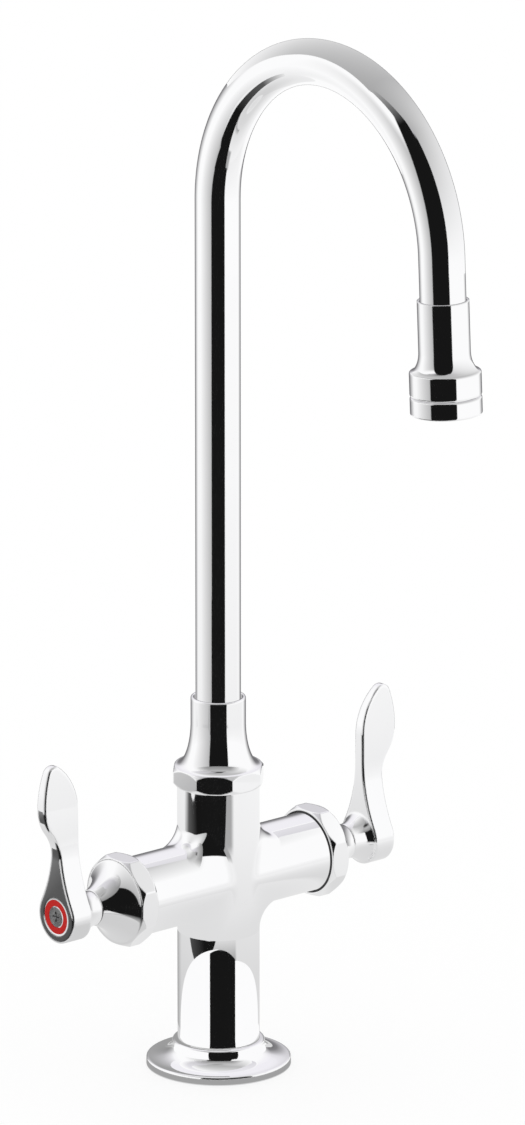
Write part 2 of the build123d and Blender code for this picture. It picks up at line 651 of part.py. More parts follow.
# The tube's path: up from the ferrule's stop, over the bend and down to the stop in the outlet fitting
riser = Line((0, 0, FERRULE_FOOT_Z + FERRULE_STOP), (0, 0, BEND_Z))
bend = Plane(origin=(0, -BEND_RADIUS, BEND_Z), x_dir=(0, 1, 0), z_dir=(1, 0, 0)) * CenterArc(
    (0, 0), BEND_RADIUS, 0, BEND_ANGLE
)
bend_end = bend @ 1
outlet_direction = bend % 1
tail = Line(bend_end, bend_end + outlet_direction * (TAIL_LENGTH + TUBE_INSERT))
TUBE_PATH = Wire([*riser.edges(), *bend.edges(), *tail.edges()])
OUTLET_PLANE = Plane(
    origin=bend_end + outlet_direction * TAIL_LENGTH, x_dir=(1, 0, 0), z_dir=outlet_direction
)

pieces = {
    "body_casting": body_casting(),
    "base_flange": base_flange(),
    "base_gasket": base_gasket(),
    "coupling_nut": coupling_nut(),
    "swivel_bushing": swivel_bushing(),
    "gooseneck_tube": gooseneck_tube(TUBE_PATH),
    "spout_ferrule": spout_ferrule(),
    "spout_o_rings": spout_o_rings(),
    "outlet_fitting": outlet_fitting(),
    "aerator_housing": aerator_housing(),
    "aerator_washer": aerator_washer(),
    "aerator_screen": pierced_disc(SCREEN_HOLE_D, WASHER_END_S, SCREEN_END_S),
    "flow_straightener": pierced_disc(STRAIGHTENER_HOLE_D, SCREEN_END_S, HOUSING_LIP_S),
}
valve_pieces = {
    "bonnet": bonnet(),
    "collar_seal": collar_seal(),
    "cartridge_body": cartridge_body(),
    "cartridge_o_ring": cartridge_o_ring(),
    "seat_seal": seat_seal(),
    "lower_disc": lower_disc(),
    "upper_disc": upper_disc(),
    "stem": stem(),
    "stem_o_ring": stem_o_ring(),
    "retaining_clip": retaining_clip(),
    "lever": lever(),
    "index_ring": index_ring(),
    "handle_screw": handle_screw(),
}
for side_name, side_sign in (("hot", -1), ("cold", 1)):
    for valve_name, valve_piece in valve_pieces.items():
        pieces[f"{side_name}_{valve_name}"] = sided(valve_piece, side_sign)

os.makedirs("parts", exist_ok=True)
for name, piece in pieces.items():
    export_step(piece, f"parts/{name}.step")
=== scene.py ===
"""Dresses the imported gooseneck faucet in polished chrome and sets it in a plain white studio.

Sizes of the faucet are in millimetres, as in the part, and become metres where a mesh is made. Lengths in
finishes, in the camera and in the swept cards are in metres.
"""
import json
import logging
import math
from collections.abc import Iterator
from dataclasses import dataclass, field, replace
from enum import Enum

import bmesh
import bpy
import numpy as np
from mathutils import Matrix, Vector


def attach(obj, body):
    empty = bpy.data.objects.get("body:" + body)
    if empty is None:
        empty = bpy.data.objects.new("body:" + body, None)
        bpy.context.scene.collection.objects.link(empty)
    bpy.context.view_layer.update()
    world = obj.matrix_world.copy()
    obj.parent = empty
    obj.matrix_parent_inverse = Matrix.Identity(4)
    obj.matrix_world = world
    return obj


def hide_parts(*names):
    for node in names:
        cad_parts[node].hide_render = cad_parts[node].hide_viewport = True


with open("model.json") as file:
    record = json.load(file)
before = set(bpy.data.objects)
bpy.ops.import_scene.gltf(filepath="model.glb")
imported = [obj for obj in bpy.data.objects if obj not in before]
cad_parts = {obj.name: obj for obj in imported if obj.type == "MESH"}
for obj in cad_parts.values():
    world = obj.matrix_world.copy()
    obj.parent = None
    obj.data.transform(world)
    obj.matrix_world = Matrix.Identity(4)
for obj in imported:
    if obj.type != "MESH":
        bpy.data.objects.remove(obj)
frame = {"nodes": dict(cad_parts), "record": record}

Array = np.ndarray
Object = bpy.types.Object
Material = bpy.types.Material
Colour = tuple[float, float, float]
Point = tuple[float, float]

log = logging.getLogger("faucet")
MM = 0.001
WELD = 1e-6
SAME_POINT = 1e-6
CREASE = math.radians(32.0)
ARM_AXIS = 83.9
WHITE = (1.0, 1.0, 1.0, 1.0)


class Slot(Enum):
    """The record's material slots."""

    CHROME = "chrome"
    BRASS = "brass"
    STEEL = "steel"
    RUBBER = "rubber"
    ACETAL = "acetal"
    CERAMIC = "ceramic"
    HOT_INDEX = "hot_index"
    COLD_INDEX = "cold_index"


class Side(Enum):
    """The two valves, with the sign of the arm's direction along X."""

    HOT = -1
    COLD = 1

    @property
    def label(self) -> str:
        """The side's name as the part's nodes and bodies use it."""
        return self.name.lower()

    @property
    def index(self) -> Slot:
        """The slot of the side's coloured index ring."""
        return Slot.HOT_INDEX if self is Side.HOT else Slot.COLD_INDEX


def straight(start: Point, end: Point, margin: float = 0.1, most: float = 0.3) -> Array:
    """Points on a straight run of an outline.

    Formula: start + t (end - start) at both ends and a small margin inside each, which keeps the
    shading flat along the run.

    Args:
        start: First point, as radius and height.
        end: Last point.
        margin: Distance of the inner points from the ends.
        most: Largest share of the run that a margin takes.

    Returns:
        Four points.
    """
    first, last = np.asarray(start, float), np.asarray(end, float)
    near = min(margin / max(float(np.linalg.norm(last - first)), margin), most)
    share = np.array([0.0, near, 1 - near, 1.0])[:, None]
    return first + share * (last - first)


def edges(*corners: Point) -> Array:
    """Straight runs from corner to corner."""
    return np.concatenate([straight(start, end) for start, end in zip(corners, corners[1:])])


def stairs(start: Point, *changes: float) -> list[Point]:
    """Corners of a stepped outline.

    Formula: each value in turn is the next corner's radius, then the next one's height, and so on.

    Args:
        start: First corner, as radius and height.
        changes: New radii and heights by turns.

    Returns:
        The corners, with the first one.
    """
    places = [start]
    for turn, value in enumerate(changes):
        radius, height = places[-1]
        places.append((radius, value) if turn % 2 else (value, height))
    return places


def bow(centre: Point, radii: Point, start: float, sweep: float, steps: int = 10) -> Array:
    """Points on an arc of an ellipse.

    Formula: centre + (a cos t, b sin t), with t running over the sweep.

    Args:
        centre: Middle of the ellipse, as radius and height.
        radii: Half axes a and b.
        start: First angle in degrees.
        sweep: Signed angle in degrees that the arc covers.
        steps: Number of chords.

    Returns:
        One more point than there are chords.
    """
    turn = np.radians(start + sweep * np.linspace(0, 1, steps + 1))
    return np.asarray(centre, float) + np.stack([radii[0] * np.cos(turn), radii[1] * np.sin(turn)], -1)


def hollow(start: Point, end: Point, radius: float, steps: int = 40) -> Array:
    """Points on a circular arc that bends in towards the axis.

    Formula: the centre stands off the chord's middle by sqrt(radius^2 - half chord^2), on the side
    away from the axis, and the arc runs at that radius from start to end.

    Args:
        start: First point, as radius and height.
        end: Last point.
        radius: The arc's radius.
        steps: Number of chords.

    Returns:
        One more point than there are chords.
    """
    span = np.subtract(end, start)
    half = float(np.linalg.norm(span)) / 2
    across = np.array([span[1], -span[0]]) / (2 * half)
    centre = np.add(start, end) / 2 + across * np.sign(across[0]) * math.sqrt(radius**2 - half**2)
    first, last = (math.degrees(math.atan2(*(np.asarray(point) - centre)[::-1])) for point in (start, end))
    sweep = (last - first + 180) % 360 - 180
    return bow(tuple(centre), (radius, radius), first, sweep, steps)


def joined(*runs: Array) -> Array:
    """Runs of points end to end, without the points that repeat their neighbour.

    Args:
        runs: The runs, in order.

    Returns:
        The points of one outline.
    """
    points = np.concatenate(runs)
    moves = np.linalg.norm(np.diff(points, axis=0), axis=1) > SAME_POINT
    return points[np.concatenate([[True], moves])]


def rolled_corner(curve: Array, wall: float, radius: float, steps: int = 8) -> Array:
    """Carries a widening curve into a straight wall with a small round between them.

    Formula: a circle rolls inside the curve, its centre one radius along the curve's inward normal,
    until it touches the wall; the curve stops at that contact and the circle's arc goes on to the wall.

    Args:
        curve: Points of the curve, towards the wall.
        wall: The wall's radius.
        radius: The round's radius.
        steps: Chords of the round.

    Returns:
        The shortened curve with the round's points.
    """
    tangent = np.gradient(curve, axis=0)
    tangent /= np.linalg.norm(tangent, axis=1, keepdims=True)
    inward = np.stack([-tangent[:, 1], tangent[:, 0]], -1)
    centres = curve + radius * inward
    steps_in = np.arange(len(curve))
    place = float(np.interp(wall - radius, centres[:, 0], steps_in))
    centre = tuple(float(np.interp(place, steps_in, centres[:, axis])) for axis in (0, 1))
    out = [-float(np.interp(place, steps_in, inward[:, axis])) for axis in (0, 1)]
    begin = math.degrees(math.atan2(out[1], out[0]))
    arc = bow(centre, (radius, radius), begin, -begin, steps)
    return joined(curve[: int(place) + 1], arc)


def full_turn(count: int = 160) -> Array:
    """Evenly spaced angles once round, the last one left out."""
    return np.linspace(0, 2 * np.pi, count, endpoint=False)


def wheel(radius: Array, height: Array, turns: Array) -> Array:
    """Points round Z at radii and heights that may change with the angle: (r cos t, r sin t, h)."""
    radius, height, turns = np.broadcast_arrays(radius, height, turns)
    return np.stack([radius * np.cos(turns), radius * np.sin(turns), height], -1)


def spun(outline: Array, turns: Array | None = None) -> Array:
    """An outline of radius and height carried round Z.

    Formula: (r cos t, r sin t, h) for each outline point and each angle t.

    Args:
        outline: Points of radius and height.
        turns: The angles, evenly spaced where none are given.

    Returns:
        A grid of points, outline by angle.
    """
    return wheel(outline[:, :1], outline[:, 1:], full_turn() if turns is None else turns)


def run_on(begin: Array, shares: tuple[float, ...], steps: Array) -> tuple[Array, Array]:
    """Straight lines from a curved edge to a level one, then the steps of an outline.

    Formula: begin + share (level - begin) for each share, at the first step's radius, then each further
    step at its own radius and level.

    Args:
        begin: Where each line starts.
        shares: Shares of the lines' length at which they have a point.
        steps: Radii and levels of the outline.

    Returns:
        Radii and levels, row by row.
    """
    lines = begin + np.asarray(shares)[:, None] * (steps[0, 1] - begin)
    levels = np.broadcast_to(steps[1:, 1:], (len(steps) - 1, len(begin)))
    radii = np.concatenate([np.full((len(shares), 1), steps[0, 0]), steps[1:, :1]])
    return radii, np.concatenate([lines, levels])


def on_arm(points: Array, side: Side) -> Array:
    """Turns points made along Z onto a valve arm: Z goes out along the arm and X points down."""
    return np.stack([side.value * points[..., 2], points[..., 1], ARM_AXIS - points[..., 0]], -1)


def net(rows: int, columns: int, loop_rows: bool = False, loop_columns: bool = False) -> Array:
    """The quads of a grid, each from row i to i+1 and column j to j+1.

    Args:
        rows: Rows of points.
        columns: Points in a row.
        loop_rows: Whether the last row joins the first.
        loop_columns: Whether the last column joins the first.

    Returns:
        Four point numbers for each quad.
    """
    index = np.arange(rows * columns).reshape(rows, columns)
    if loop_rows:
        index = np.vstack([index, index[:1]])
    if loop_columns:
        index = np.hstack([index, index[:, :1]])
    corners = [index[:-1, :-1], index[1:, :-1], index[1:, 1:], index[:-1, 1:]]
    return np.stack(corners, -1).reshape(-1, 4)


class Shell:
    """A closed mesh sewn together from grids of points."""

    def __init__(self, name: str) -> None:
        """Starts an empty shell.

        Args:
            name: The piece's name.
        """
        self.name = name
        self.points: list[Array] = []
        self.quads: list[Array] = []
        self.count = 0

    def sew(self, grid: Array, loop_rows: bool = False) -> "Shell":
        """Adds a grid as a net of quads, row i to i+1 and column j to j+1, the last column to the first.

        Args:
            grid: Points, rows by columns by three.
            loop_rows: Whether the last row joins the first.

        Returns:
            The shell itself.
        """
        rows, columns = grid.shape[:2]
        self.points.append(grid.reshape(-1, 3))
        self.quads.append(net(rows, columns, loop_rows, True) + self.count)
        self.count += rows * columns
        return self

    def mesh(self) -> bpy.types.Mesh:
        """Welds the grids' shared edges and poles, turns the faces outwards and shades them smooth.

        Returns:
            The mesh, in metres.
        """
        mesh = bpy.data.meshes.new(self.name)
        mesh.from_pydata((np.concatenate(self.points) * MM).tolist(), [], np.concatenate(self.quads).tolist())
        knit = bmesh.new()
        knit.from_mesh(mesh)
        bmesh.ops.remove_doubles(knit, verts=knit.verts, dist=WELD)
        bmesh.ops.dissolve_degenerate(knit, edges=knit.edges, dist=WELD / 10)
        bmesh.ops.recalc_face_normals(knit, faces=knit.faces)
        knit.to_mesh(mesh)
        knit.free()
        mesh.shade_smooth()
        mesh.set_sharp_from_angle(angle=CREASE)
        return mesh

    def piece(self, body: str, slot: Slot, *nodes: str) -> Object:
        """Makes the shell a piece of the faucet.

        Args:
            body: The body that it rides on.
            slot: The record's slot of its finish; not used.
            nodes: The part's nodes that it stands for.

        Returns:
            The new object.
        """
        shown = bpy.data.objects.new(self.name, self.mesh())
        bpy.context.scene.collection.objects.link(shown)
        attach(shown, body)
        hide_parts(*nodes)
        return shown


def carve(shown: Object, cutter: Shell) -> None:
    """Cuts a closed shell out of a piece and shades the new mesh.

    Args:
        shown: The piece.
        cutter: The shell.
    """
    tool = bpy.data.objects.new(cutter.name, cutter.mesh())
    bpy.context.scene.collection.objects.link(tool)
    change = shown.modifiers.new("change", "BOOLEAN")
    change.operation, change.solver, change.object = "DIFFERENCE", "EXACT", tool
    ready = bpy.context.evaluated_depsgraph_get()
    old, shown.data = shown.data, bpy.data.meshes.new_from_object(shown.evaluated_get(ready))
    shown.modifiers.clear()
    bpy.data.objects.remove(tool)
    bpy.data.meshes.remove(old)
    shown.data.shade_smooth()
    shown.data.set_sharp_from_angle(angle=CREASE)


class Graph:
    """Adds nodes to one node tree and links them."""

    def __init__(self, tree: bpy.types.NodeTree) -> None:
        """Wraps a node tree and removes the nodes that it came with."""
        self.tree = tree
        tree.nodes.clear()

    def node(
        self, kind: str, values: dict[str | int, object] | None = None, **settings: object
    ) -> bpy.types.Node:
        """Adds a node.

        Args:
            kind: The node's type.
            values: Plain values or source sockets by input name.
            settings: The node's own properties.

        Returns:
            The new node.
        """
        made = self.tree.nodes.new(kind)
        for name, setting in settings.items():
            setattr(made, name, setting)
        for name, value in (values or {}).items():
            if isinstance(value, bpy.types.NodeSocket):
                self.tree.links.new(value, made.inputs[name])
            else:
                made.inputs[name].default_value = value
        return made


def new_group(name: str, inputs: dict[str, str], outputs: dict[str, str]) -> tuple[bpy.types.NodeTree, Graph]:
    """Starts a shader node group with named sockets.

    Args:
        name: The group's name.
        inputs: Socket types by input name.
        outputs: Socket types by output name.

    Returns:
        The group and its graph.
    """
    group = bpy.data.node_groups.new(name, "ShaderNodeTree")
    for direction, sockets in (("INPUT", inputs), ("OUTPUT", outputs)):
        for label, kind in sockets.items():
            group.interface.new_socket(label, in_out=direction, socket_type=kind)
    return group, Graph(group)


NUMBER = "NodeSocketFloat"
COLOUR = "NodeSocketColor"
DRIFT_NOISE = {"Detail": 2.0, "Roughness": 0.5}
HAZE_NOISE = {"Detail": 5.0, "Roughness": 0.62}
HAZE_RANGE = {"From Min": 0.35, "From Max": 0.75}
GRAIN_NOISE = {"Detail": 3.0, "Roughness": 0.55}
GRAIN_STRENGTH = 0.4
EDGE_SAMPLES = 8
# Painted shade in recesses: the ambient occlusion samples, the range it is mapped over and the near-black
# colour it mixes into the finish.
RECESS_SHADE_SAMPLES = 16
RECESS_SHADE_RANGE = {"From Min": 0.55, "From Max": 0.95, "To Min": 0.01}
PAINTED_RECESS_SHADE = (0.01, 0.01, 0.01, 1.0)


def polish_group() -> bpy.types.NodeTree:
    """Builds the shared polish: two noises in Object coordinates give a drifting tint and a patchy haze.

    Returns:
        The group, with Colour and Roughness outputs.
    """
    inputs = {"Light": COLOUR, "Dark": COLOUR, "Drift Scale": NUMBER, "Haze Scale": NUMBER}
    inputs |= {"Smoothest": NUMBER, "Roughest": NUMBER}
    group, graph = new_group("polish", inputs, {"Colour": COLOUR, "Roughness": NUMBER})
    given = graph.node("NodeGroupInput").outputs
    place = graph.node("ShaderNodeTexCoord").outputs["Object"]
    drift = graph.node("ShaderNodeTexNoise", {"Vector": place, "Scale": given["Drift Scale"], **DRIFT_NOISE})
    tint = graph.node(
        "ShaderNodeMix",
        {"Factor": drift.outputs["Fac"], "A": given["Light"], "B": given["Dark"]},
        data_type="RGBA",
    )
    patches = graph.node("ShaderNodeTexNoise", {"Vector": place, "Scale": given["Haze Scale"], **HAZE_NOISE})
    limits = {"To Min": given["Smoothest"], "To Max": given["Roughest"]}
    haze = graph.node(
        "ShaderNodeMapRange",
        {"Value": patches.outputs["Fac"], **HAZE_RANGE, **limits},
        interpolation_type="SMOOTHSTEP",
    )
    graph.node("NodeGroupOutput", {"Colour": tint.outputs["Result"], "Roughness": haze.outputs["Result"]})
    return group


def grain_group() -> bpy.types.NodeTree:
    """Builds the shared fine grain of moulded and machined pieces: a noise pulled out along one axis.

    Returns:
        The group, with a Height output.
    """
    group, graph = new_group("grain", {"Scale": NUMBER, "Pull": NUMBER}, {"Height": NUMBER})
    given = graph.node("NodeGroupInput").outputs
    place = graph.node("ShaderNodeTexCoord").outputs["Object"]
    stretch = graph.node("ShaderNodeCombineXYZ", {"X": given["Pull"], "Y": 1.0, "Z": 1.0})
    pulled = graph.node("ShaderNodeVectorMath", {0: place, 1: stretch.outputs[0]}, operation="MULTIPLY")
    noise = graph.node(
        "ShaderNodeTexNoise", {"Vector": pulled.outputs[0], "Scale": given["Scale"], **GRAIN_NOISE}
    )
    graph.node("NodeGroupOutput", {"Height": noise.outputs["Fac"]})
    return group


@dataclass(frozen=True)
class Finish:
    """One finish of the faucet, made from the shared polish and grain, with painted shade darkening its
    recesses where a reach is given.
    """

    slot: Slot
    light: Colour
    dark: Colour
    metallic: float = 0.0
    smoothest: float = 0.03
    roughest: float = 0.06
    drift_scale: float = 25.0
    haze_scale: float = 90.0
    grain_scale: float = 900.0
    grain_pull: float = 1.0
    grain_depth: float = 0.0
    specular: float = 0.5
    edge_round: float = 0.0
    recess_shade: float = 0.0
    name: str = ""

    def material(self, polish: bpy.types.NodeTree, grain: bpy.types.NodeTree) -> Material:
        """Builds the finish as a node material.

        Args:
            polish: The shared polish group.
            grain: The shared grain group.

        Returns:
            The material.
        """
        made = bpy.data.materials.new(self.name or f"{self.slot.value}_finish")
        made.use_nodes = True
        graph = Graph(made.node_tree)
        look = graph.node(
            "ShaderNodeGroup",
            {
                "Light": (*self.light, 1.0),
                "Dark": (*self.dark, 1.0),
                "Drift Scale": self.drift_scale,
                "Haze Scale": self.haze_scale,
                "Smoothest": self.smoothest,
                "Roughest": self.roughest,
            },
            node_tree=polish,
        )
        colour = look.outputs["Colour"]
        # Painted shade: ambient occlusion within this reach darkens the colour to near black in recesses,
        # such as a screw's cross, where shade falls.
        if self.recess_shade > 0:
            occlusion = graph.node(
                "ShaderNodeAmbientOcclusion",
                {"Distance": self.recess_shade},
                samples=RECESS_SHADE_SAMPLES,
                only_local=True,
            )
            unshaded_share = graph.node("ShaderNodeMapRange", {"Value": occlusion.outputs["AO"], **RECESS_SHADE_RANGE})
            colour = graph.node(
                "ShaderNodeMix",
                {"Factor": unshaded_share.outputs["Result"], "A": PAINTED_RECESS_SHADE, "B": colour},
                data_type="RGBA",
            ).outputs["Result"]
        surface = graph.node(
            "ShaderNodeBsdfPrincipled",
            {
                "Base Color": colour,
                "Roughness": look.outputs["Roughness"],
                "Metallic": self.metallic,
                "Specular IOR Level": self.specular,
            },
        )
        if self.grain_depth > 0:
            texture = graph.node(
                "ShaderNodeGroup", {"Scale": self.grain_scale, "Pull": self.grain_pull}, node_tree=grain
            )
            height = texture.outputs["Height"]
            bump = graph.node(
                "ShaderNodeBump", {"Height": height, "Strength": GRAIN_STRENGTH, "Distance": self.grain_depth}
            )
            graph.tree.links.new(bump.outputs["Normal"], surface.inputs["Normal"])
        if self.edge_round > 0:
            soft = graph.node("ShaderNodeBevel", {"Radius": self.edge_round}, samples=EDGE_SAMPLES)
            graph.tree.links.new(soft.outputs["Normal"], surface.inputs["Normal"])
        graph.node("ShaderNodeOutputMaterial", {"Surface": surface.outputs["BSDF"]})
        return made


FINISHES: tuple[Finish, ...] = (
    Finish(Slot.CHROME, (0.985, 0.985, 0.99), (0.95, 0.95, 0.96), metallic=1.0, smoothest=0.02,
           roughest=0.045, edge_round=0.0009),
    Finish(Slot.BRASS, (0.78, 0.61, 0.31), (0.68, 0.51, 0.24), metallic=1.0, smoothest=0.22, roughest=0.36,
           grain_scale=1400.0, grain_pull=0.12, grain_depth=0.00003),
    # The steel's recess reach paints shade, darkening its recesses such as the screws' cross to near black.
    Finish(Slot.STEEL, (0.96, 0.96, 0.96), (0.88, 0.88, 0.89), metallic=1.0, smoothest=0.16, roughest=0.28,
           grain_scale=1800.0, grain_pull=0.15, grain_depth=0.00002, recess_shade=0.0015),
    Finish(Slot.RUBBER, (0.022, 0.022, 0.024), (0.012, 0.012, 0.013), smoothest=0.55, roughest=0.75,
           grain_scale=2200.0, grain_depth=0.00004),
    Finish(Slot.ACETAL, (0.86, 0.86, 0.84), (0.78, 0.78, 0.76), smoothest=0.32, roughest=0.46,
           grain_scale=1500.0, grain_depth=0.00002),
    Finish(Slot.CERAMIC, (0.93, 0.92, 0.89), (0.88, 0.87, 0.84), smoothest=0.12, roughest=0.2,
           grain_scale=2600.0, grain_depth=0.00001),
    Finish(Slot.HOT_INDEX, (0.53, 0.014, 0.011), (0.46, 0.010, 0.008), smoothest=0.3, roughest=0.42,
           grain_scale=1600.0, grain_depth=0.00001, specular=0.12),
    Finish(Slot.COLD_INDEX, (0.02, 0.08, 0.50), (0.014, 0.06, 0.41), smoothest=0.3, roughest=0.42,
           grain_scale=1600.0, grain_depth=0.00001, specular=0.12),
)
LEVER_FINISH = replace(FINISHES[0], name="lever_chrome", edge_round=0.0017)


class Palette:
    """The materials of all finishes, by slot."""

    def __init__(self, finishes: tuple[Finish, ...] = FINISHES) -> None:
        """Builds the shared groups once and a material for each finish.

        Args:
            finishes: The finishes.
        """
        polish, grain = polish_group(), grain_group()
        self.materials = {finish.slot: finish.material(polish, grain) for finish in finishes}
        self.lever = LEVER_FINISH.material(polish, grain)

    def dress(self, piece: Object, slot: Slot, special: Material | None = None) -> None:
        """Puts a finish on a piece, which the chrome leaves out: it mirrors the studio alone.

        Args:
            piece: A new piece or one of the part's nodes.
            slot: The finish.
            special: A material in place of the slot's usual one.
        """
        if not piece.material_slots:
            piece.data.materials.append(None)
        for place in piece.material_slots:
            place.material = special or self.materials[slot]
        piece.visible_glossy = False


class Assembly:
    """A sub-assembly of the faucet, which makes its pieces one by one."""

    def pieces(self) -> Iterator[tuple[Object, Slot]]:
        """Makes each piece in turn, with the slot of its finish."""
        raise NotImplementedError

    def build(self, palette: Palette) -> None:
        """Builds the pieces and dresses them.

        Args:
            palette: The finishes.
        """
        for piece, slot in self.pieces():
            palette.dress(piece, slot)
            log.info("built %s", piece.name)


@dataclass
class BaseFlange(Assembly):
    """The round flange about the foot of the column, with a rolled edge and a hollow cove."""

    edge_r: float = 30.65
    edge_top: float = 3.7
    edge_round: float = 0.8
    lip_r: float = 19.575
    lip_round: float = 1.0
    height: float = 11.5
    bore_r: float = 16.425
    recess_r: float = 26.1
    recess_top: float = 1.5
    round_steps: int = 224
    cove_steps: int = 40

    def outline(self) -> Array:
        """The flange's closed outline: rolled edge, quarter-ellipse cove, rounded lip, bore and recess.

        Returns:
            Points of radius and height.
        """
        cove_r, lip_base = self.edge_r - self.edge_round, self.height - self.lip_round
        edge_base, lip_in = self.edge_top - self.edge_round, self.lip_r - self.lip_round
        rounded = (self.edge_round, self.edge_round)
        cove = (cove_r - self.lip_r, lip_base - self.edge_top)
        inside = (self.bore_r, self.recess_top, self.recess_r, 0, self.edge_r)
        return joined(
            straight((self.edge_r, 0), (self.edge_r, edge_base)),
            bow((cove_r, edge_base), rounded, 0, 90),
            bow((cove_r, lip_base), cove, 270, -90, self.cove_steps),
            bow((lip_in, lip_base), (self.lip_round, self.lip_round), 0, 90),
            edges(*stairs((lip_in, self.height), *inside)),
        )[:-1]

    def pieces(self) -> Iterator[tuple[Object, Slot]]:
        """Makes the flange."""
        shell = Shell("flange").sew(spun(self.outline(), full_turn(self.round_steps)), loop_rows=True)
        yield shell.piece("body", Slot.CHROME, "base_flange"), Slot.CHROME


@dataclass
class BodyCasting(Assembly):
    """The upright column with its two valve arms: one casting, rolled fillets where they meet."""

    column_r: float = 17.375
    arm_r: float = 16.775
    fillet_r: float = 6.0
    fillet_swell: float = 15.0
    swell_start: float = 0.22
    arm_end: float = 50.0
    column_top: float = 124.6
    neck_r: float = 14.375
    neck_top: float = 131.6
    socket_r: float = 11.575
    socket_floor: float = 103.7
    foot_r: float = 16.375
    foot_top: float = 11.5
    foot: float = 1.5
    thread_r: float = 13.35
    thread_end: float = 39.0
    chamber_r: float = 10.95
    seat: float = 22.0
    inlet_at: float = 8.5
    inlet_r: float = 4.5
    inlet_depth: float = 12.0
    stud_at: float = 10.5
    stud_r: float = 3.4
    stud_depth: float = 15.0
    half_steps: int = 96
    fillet_steps: int = 14
    band_steps: int = 10
    drill_steps: int = 48
    drill_clear: float = 1.0
    arm_shares: tuple[float, ...] = (0.0, 0.02, 0.3, 0.7, 0.99, 1.0)
    column_shares: tuple[float, ...] = (0.0, 0.01, 0.25, 0.5, 0.75, 0.99, 1.0)

    def ball(self, turns: Array) -> Array:
        """The rolling ball's radius: small at the arm's top, swelling smoothly with |cos t| to the sides."""
        share = np.clip((np.abs(np.cos(turns)) - self.swell_start) / (1 - self.swell_start), 0, 1)
        return self.fillet_r + self.fillet_swell * share**2 * (3 - 2 * share)

    def rolled(self, turns: Array, side: Side) -> tuple[Array, Array, Array]:
        """A ball that rolls along the junction of the column and an arm.

        Formula: the ball's centre keeps one ball radius outside both cylinders, so about the arm
        y = P cos t and z = P sin t, and about the column x = sqrt(Q^2 - y^2), with P and Q the
        cylinders' radii plus the ball's. The contacts lie from the centre straight towards each axis.

        Args:
            turns: Angles t about the arm.
            side: Which arm.

        Returns:
            The centres, the contacts on the column and the contacts on the arm.
        """
        about_arm, about_column = self.arm_r + self.ball(turns), self.column_r + self.ball(turns)
        y, z = about_arm * np.cos(turns), about_arm * np.sin(turns)
        x = side.value * np.sqrt(about_column**2 - y**2)
        to_column, to_arm = self.column_r / about_column, self.arm_r / about_arm
        on_column = np.stack([x * to_column, y * to_column, z], -1)
        on_arm_wall = np.stack([x, y * to_arm, z * to_arm], -1)
        return np.stack([x, y, z], -1), on_column, on_arm_wall

    def fillet(self, side: Side) -> Array:
        """The rolled fillet: the ball's arc from the column's contact to the arm's, about its centre.

        Args:
            side: Which arm.

        Returns:
            The grid, its heights from the arms' axis.
        """
        turns = full_turn(2 * self.half_steps)
        centre, on_column, on_arm_wall = self.rolled(turns, side)
        radius = self.ball(turns)[:, None]
        first, last = (on_column - centre) / radius, (on_arm_wall - centre) / radius
        span = np.arccos(np.clip((first * last).sum(-1), -1, 1))[:, None]
        share = np.linspace(0, 1, self.fillet_steps + 1)[:, None, None]
        turned = (np.sin((1 - share) * span) * first + np.sin(share * span) * last) / np.sin(span)
        return centre + radius * turned

    def arm(self, side: Side) -> Array:
        """An arm: straight lines from the fillet to the arm's end, then the valve chamber's steps inwards.

        Args:
            side: Which arm.

        Returns:
            The grid, its heights from the arms' axis.
        """
        turns = full_turn(2 * self.half_steps)
        begin = self.rolled(turns, side)[2][:, 0]
        chamber = (self.thread_r, self.thread_end, self.chamber_r, self.seat, 0.0)
        steps = np.array(stairs((self.arm_r, self.arm_end), *chamber))
        radii, out = run_on(begin, self.arm_shares, steps * np.array([1, side.value]))
        return np.stack([out, radii * np.cos(turns), radii * np.sin(turns)], -1)

    def rim(self) -> tuple[Array, Array]:
        """Where the column's wall starts above the arms: the contact lines, and level bands between them.

        Returns:
            The angles about the column and the heights above the arms' axis.
        """
        turns = np.linspace(0, np.pi, self.half_steps + 1)
        cold = self.rolled(turns, Side.COLD)[1]
        hot = self.rolled(turns[::-1], Side.HOT)[1]
        cold_at = np.arctan2(cold[:, 1], cold[:, 0])
        hot_at = np.unwrap(np.arctan2(hot[:, 1], hot[:, 0]))
        hot_at = hot_at - 2 * np.pi * np.round((hot_at[0] - cold_at[-1]) / (2 * np.pi))
        share = np.linspace(0, 1, self.band_steps + 1)[1:-1]
        front = cold_at[-1] + share * (hot_at[0] - cold_at[-1])
        back = hot_at[-1] + share * (cold_at[0] - 2 * np.pi - hot_at[-1])
        level = np.zeros_like(share)
        heights = np.concatenate([cold[:, 2], level, hot[:, 2], level])
        return np.concatenate([cold_at, front, hot_at, back]), heights

    def column(self, upper: bool) -> Array:
        """Half of the column: lines up or down from the rim, then the steps of the neck or of the foot.

        Args:
            upper: Whether it is the half above the arms.

        Returns:
            The grid, its heights from the arms' axis.
        """
        at, rim = self.rim()
        if upper:
            socket = (self.neck_r, self.neck_top, self.socket_r, self.socket_floor, 0.0)
            steps = stairs((self.column_r, self.column_top), *socket)
        else:
            rim = -rim
            steps = stairs((self.column_r, self.foot_top), self.foot_r, self.foot, 0.0)
        radii, heights = run_on(rim, self.column_shares, np.array(steps) - np.array([0.0, ARM_AXIS]))
        return wheel(radii, heights, at)

    def sockets(self) -> Shell:
        """The threaded sockets in the foot, for the two hoses and the two studs.

        Returns:
            The shell to cut out.
        """
        cutter = Shell("foot_sockets")
        below = self.foot - self.drill_clear
        for spread, radius, depth, along in (
            (self.inlet_at, self.inlet_r, self.inlet_depth, (1.0, 0.0)),
            (self.stud_at, self.stud_r, self.stud_depth, (0.0, 1.0)),
        ):
            top = self.foot + depth
            drill = spun(edges(*stairs((0, below), radius, top, 0)), full_turn(self.drill_steps))
            for sign in (-1, 1):
                cutter.sew(drill + np.array([sign * spread * along[0], sign * spread * along[1], 0.0]))
        return cutter

